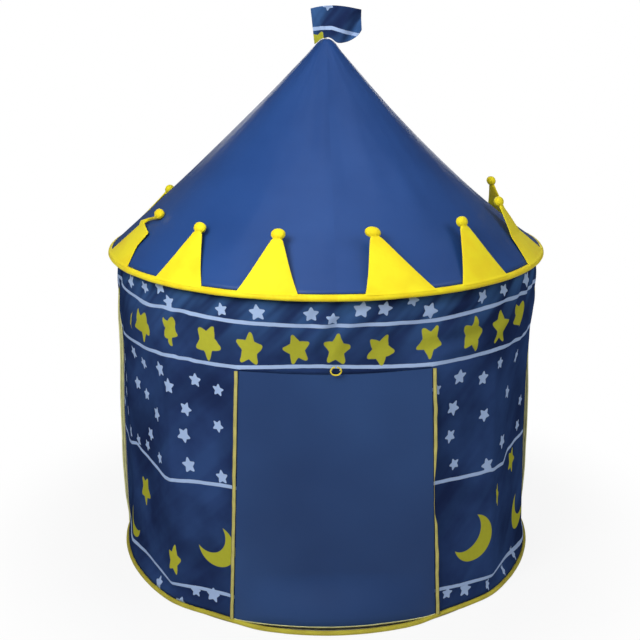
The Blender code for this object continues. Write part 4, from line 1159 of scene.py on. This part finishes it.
def makeCrownPoint(number, side, place, width, length, sway, slope, added):
    name = "crown_point_%02d" % number
    width, length = width * crown["width"], length * crown["length"]
    ball = 1.0 + 0.10 * math.sin(number * 2.6)
    table = np.array(crownStations(width, length, sway, number == crown["folded"], ball))
    at = np.unique(np.concatenate([np.linspace(0, length, crown["rows"]), table[:, 0]]))
    sides = crown["sides"]
    rows = []
    for distance in at:
        across, outer, inner, aside = (np.interp(distance, table[:, 0], table[:, k]) for k in (1, 2, 3, 4))
        middle, along = crownSpine(distance, length, slope, added)
        normal = Vector((1, 0, 0)).cross(along)  # out of the roof's side
        share = distance / length
        row = []
        for k in range(sides):
            turn = math.tau * k / sides
            x = across * math.copysign(abs(math.cos(turn)) ** (0.75 if share < 1 else 1), math.cos(turn))
            lift = math.sin(turn)
            seed = Vector((x * 26, distance * 26, number * 7.3))
            soft = 1 - abs(x / max(across, 1e-6)) ** 3
            thick = inner if lift > 0 else outer
            if share < 1:
                lift = math.copysign(abs(lift) ** 0.6, lift)
                if lift < 0:
                    thick *= 1 + 0.5 * noise.noise(seed)
                thick += 0.0016 * noise.noise(seed * 0.5) * soft * (lift < 0)
            gather = 1 + 0.06 * math.cos(9 * turn) * bump(share, 1.03, 0.10)
            point = middle + normal * (lift * thick * gather)
            point.x += x * gather
            point.y += point.x ** 2 / (2 * tent["hoop"])
            point.x += aside
            if share < 1:
                waves = crown["wave"] * rumple(x * 12, distance * 14, number * 3.1) * smooth(share * 4)
                point += normal * (waves + mix(*crown["seat"], smooth(share * 3)))
            row.append(point)
        rows.append(row)
    foot = rows[0]
    for out, down, grow in crown["root"]:
        rows.insert(0, [Vector((point.x * grow, point.y - out, 0.4 * point.z - down)) for point in foot])
    mesh = mend(clothGrid(name, rows, closed=True), fill=True)
    angle = side * 180 * place
    seam = tent["eave"] + tent["band"] + tent["cloth"] / 2 + crown["lift"]
    move = Matrix.Translation(around(angle, tent["hoop"] + crown["seamOut"], seam))
    mesh.transform(move @ Matrix.Rotation(math.radians(angle), 4, "Z"))
    made = addPiece("crownPoint%02d" % number, mesh, paints["crown"], name)
    fine = made.modifiers.new("soft", "SUBSURF")
    fine.levels = fine.render_levels = 1
    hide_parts(name)


for number, row in enumerate(crown["right"], 1):
    makeCrownPoint(number, 1, *row)
for number, row in enumerate(crown["left"], 7):
    makeCrownPoint(number, -1, *row)


# Flag

print("scene: flag")

flag = dict(
    lean=23.5, top=0.074, wave=0.0090, ripples=1.5, sleeve=0.0048, sleeveRadius=0.0045, columns=60, rows=40,
    high=[(310, 8.6), (317, 6.8), (325, 5.6), (335, 5.2), (343, 6.0), (352, 7.6), (362, 9.6)],
    low=[(314, 44.6), (317, 42.6), (320, 39.8), (323, 38), (327, 37), (331, 38), (334, 40.6), (337, 43), (342, 43),
         (346, 42.2), (350, 41), (355, 38), (359, 34.6), (362, 29)],
    stripe=[(312, 29), (322, 28), (332, 28), (345, 32), (358, 35)], star=(319, 40), lightStars=[(328, 5)],
)
staffFoot = Vector((0, 0, roof["tipHeight"] + roof["neckRise"] + 2 * tent["cloth"]))
staffWay = Vector((-math.sin(math.radians(flag["lean"])), 0, math.cos(math.radians(flag["lean"]))))


def edgePoint(pixels, share):  # on the cloth's edge, evened out over its neighbours
    places = []
    for step in (-0.03, 0, 0.03):
        px = mix(pixels[0][0], pixels[-1][0], min(max(share + step, 0), 1))
        places.append(onPlane(px, steps(px, pixels)))
    return sum(places, Vector()) / 3


def flagPoint(share, rise):
    place = edgePoint(flag["low"], share).lerp(edgePoint(flag["high"], share), rise)
    near = place - staffFoot
    off = near - staffWay * near.dot(staffWay)
    away = smooth(abs(off.x) / 0.045)
    ripple = math.sin(math.tau * (flag["ripples"] * share - 0.55 * rise + 0.1))
    place.y = flag["wave"] * ripple * away + 0.0020 * rumple(share * 5, rise * 4, 2) * away
    if abs(off.x) < 0.011 and near.dot(staffWay) > 0:  # the cloth parts round the staff
        place.y = mix(-flag["sleeve"], place.y, smooth(abs(off.x) / 0.011))
    return place


def makeFlag():
    rows = []
    for row in range(flag["rows"] + 1):
        rows.append([flagPoint(i / flag["columns"], row / flag["rows"]) for i in range(flag["columns"] + 1)])
    mesh = clothGrid("flagCloth", rows)
    points = np.array([tuple(vertex.co) for vertex in mesh.vertices])
    star = onPlane(*flag["star"])
    spots = [(star.x, star.z, 0.024, 20, 2)]
    for px, py in flag["lightStars"]:
        spot = onPlane(px, py)
        spots.append((spot.x, spot.z, 0.0150, 40, 1))
    line = sorted((onPlane(px, py).x, onPlane(px, py).z) for px, py in flag["stripe"])
    xs, ys = zip(*line)
    printOn(mesh, points[:, [0, 2]], spots, [stripeLine(xs, ys)])
    made = addPiece("flagCloth", mesh, paints["flag"], "flag")
    thicken(made, 0.0006)
    path = [staffFoot + staffWay * mix(0.006, flag["top"] + 0.001, i / 20) for i in range(21)]
    rows = []
    for point in path:
        rows.append([point + around(turn, flag["sleeveRadius"], 0) for turn in range(-180, 181, 20)])
    sleeve = addPiece("flagSleeve", clothGrid("flagSleeve", rows), paints["roof"], "flag")
    thicken(sleeve, 0.0005)
    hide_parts("flag")


makeFlag()


# Door flap: a piece from the middle of each strip to the middle of the next

print("scene: door flap")

flap = dict(columns=64, rowStep=0.0045, billow=0.0016, bead=0.0016, foot=0.0108, bow=0.043, over=0.0012)


def slatLengths():
    drop = seamHeight - door["hemHeight"]
    first = (drop + door["shrink"] * door["slats"] * (door["slats"] - 1) / 2) / door["slats"]
    return [first - door["shrink"] * number for number in range(door["slats"])]


lengths = slatLengths()
joints = [seamHeight - sum(lengths[:number]) for number in range(door["slats"] + 1)]


def flapPoint(side, height):
    half = jambHalf(height) - door["sideGap"] + flap["over"]
    depth = hingeDepth - tent["cloth"] / 2
    low = smooth((joints[-4] - height) / (joints[-4] - flap["foot"]))
    depth += flap["bow"] * math.cos(math.pi / 2 * side) ** 0.8 * low
    inside = smooth((1 - abs(side)) / 0.12) * smooth((seamHeight - height) / 0.05)
    waves = 0.6 * rumple(side * 1.7, height * 2.2, 4) + 0.25 * rumple(side * 5, height * 5, 9)
    depth += flap["billow"] * (0.4 + waves) * inside
    return Vector((side * half, -depth, height))


def makeFlapPiece(number, high, low):
    rows = []
    count = max(int((high - low) / flap["rowStep"]), 3)
    for row in range(count + 1):
        height = mix(low, high, row / count)
        line = []
        for column in range(flap["columns"] + 1):
            side = mix(-1, 1, column / flap["columns"])
            rise = 0.0
            if number == 0:
                rise = (mix(wall["seamOver"], door["seamRise"], side * side) - tent["gap"]) * row / count
            point = flapPoint(side, height)
            point.z += rise
            if number == 0:
                point.x = side * (jambHalf(point.z) - door["sideGap"] + flap["over"])
            line.append(point)
        rows.append(line)
    name = "doorFlap%02d" % number
    mesh = clothGrid(name, rows)
    layOut(mesh, lambda number, point: (point.x, point.z))
    return addPiece(name, mesh, paints["door"], None)


def makeFlap():
    pieces = []
    middles = [(joints[i] + joints[i + 1]) / 2 for i in range(door["slats"])]
    made = makeFlapPiece(0, seamHeight, middles[0])
    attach(made, "door_flap_01")
    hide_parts("door_flap_01")
    pieces.append((made, seamHeight - middles[0], seamHeight))
    for i in range(1, door["slats"]):
        made = makeFlapPiece(i, middles[i - 1], middles[i])
        -hingeDepth
        -hingeDepth
        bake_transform(made)
        pieces.append((made, middles[i - 1] - middles[i], middles[i - 1]))
        if i > 1:
            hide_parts("door_flap_%02d" % i)
    last = makeFlapPiece(door["slats"], middles[-1], flap["foot"])
    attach(last, "door_flap_12")
    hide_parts("door_flap_12")
    path = [flapPoint(mix(-1, 1, i / 80), flap["foot"]) for i in range(81)]
    mesh = tube("doorFlapHem", path, flap["bead"], 10)
    hem = addPiece("doorFlapHem", mesh, paints["piping"], "door_flap_12")
    pieces.append((last, middles[-1] - door["hemHeight"], middles[-1]))
    for made, drop, high in pieces:
        2 * jambHalf(high) + 0.002
        drop + 0.002


makeFlap()


# Materials for the pieces that keep the model's own shape

print("scene: carried pieces")

for name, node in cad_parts.items():
    kind = "steel" if name == "eave_hoop" else "fitting" if name.split("_")[0] in ("eave", "apex", "door") else "pole"
    if not node.hide_render:
        for place in node.material_slots:
            place.material = paints[kind]


# Floor, light and finish

studio = dict(key=25.0, fill=18.0, top=8.0, back=40.0, world=0.14, floor=(0.80, 0.80, 0.80), paper=0.88)


def makeFloor():
    mesh = bpy.data.meshes.new("floor")
    mesh.from_pydata([(-9, -6, 0), (9, -6, 0), (9, 14, 0), (-9, 14, 0)], [], [(0, 1, 2, 3)])
    made = bpy.data.objects.new("floor", mesh)
    bpy.context.scene.collection.objects.link(made)

    def build():
        return {"Base Color": (*studio["floor"], 1), "Roughness": 0.9, "Specular IOR Level": 0.1}
    paper = newMaterial("floorPaper", build)
    nodes = paper.node_tree.nodes
    place = objectPlace()
    far = span(place.part("X"), place.part("Y"))
    share = Shade.node("ShaderNodeLightPath") * (far.ramp(0.60, 1.05) * (1 - studio["paper"]) + studio["paper"])
    share = share * (far > tent["hoop"])
    glow = Shade.node("ShaderNodeEmission", None, {"Color": (1, 1, 1, 1), "Strength": 1.0})
    both = Shade.node("ShaderNodeMixShader", None, {0: share, 1: Shade(nodes["Principled BSDF"].outputs[0]), 2: glow})
    Shade.feed(nodes["Material Output"].inputs["Surface"], both)
    mesh.materials.append(paper)


def makeLamp(name, place, size, power, at=(0, 0, 0.6)):
    data = bpy.data.lights.new(name, "AREA")
    data.shape, data.size, data.energy = "DISK", size, power
    made = bpy.data.objects.new(name, data)
    made.location = place
    made.rotation_euler = (Vector(at) - Vector(place)).to_track_quat("-Z", "Y").to_euler()
    made.visible_camera = False
    bpy.context.scene.collection.objects.link(made)


def makeWorld():
    world = bpy.data.worlds.new("studio")
    world.use_nodes = True
    bpy.context.scene.world = world
    Shade.tree = world.node_tree
    for node in list(world.node_tree.nodes):
        world.node_tree.nodes.remove(node)
    seen = Shade.node("ShaderNodeLightPath")
    dim = Shade.node("ShaderNodeBackground", None, {"Color": (1, 1, 1, 1), "Strength": studio["world"]})
    white = Shade.node("ShaderNodeBackground", None, {"Color": (1, 1, 1, 1), "Strength": 1.0})
    both = Shade.node("ShaderNodeMixShader", None, {0: seen, 1: dim, 2: white})
    Shade.node("ShaderNodeOutputWorld", None, {"Surface": both})


makeFloor()
makeLamp("key", (-0.78, -1.5, 1.75), 0.9, studio["key"], (0, -0.3, 0.7))
makeLamp("fill", (1.9, -1.3, 2.3), 1.6, studio["fill"], (0.2, -0.1, 0.8))
makeLamp("top", (0.0, -0.8, 2.9), 1.5, studio["top"], (0, -0.3, 1.0))
makeLamp("back", (0.2, 3.0, 1.3), 2.4, studio["back"])
makeWorld()
bpy.context.scene.view_settings.view_transform = "Standard"

print("scene: done")
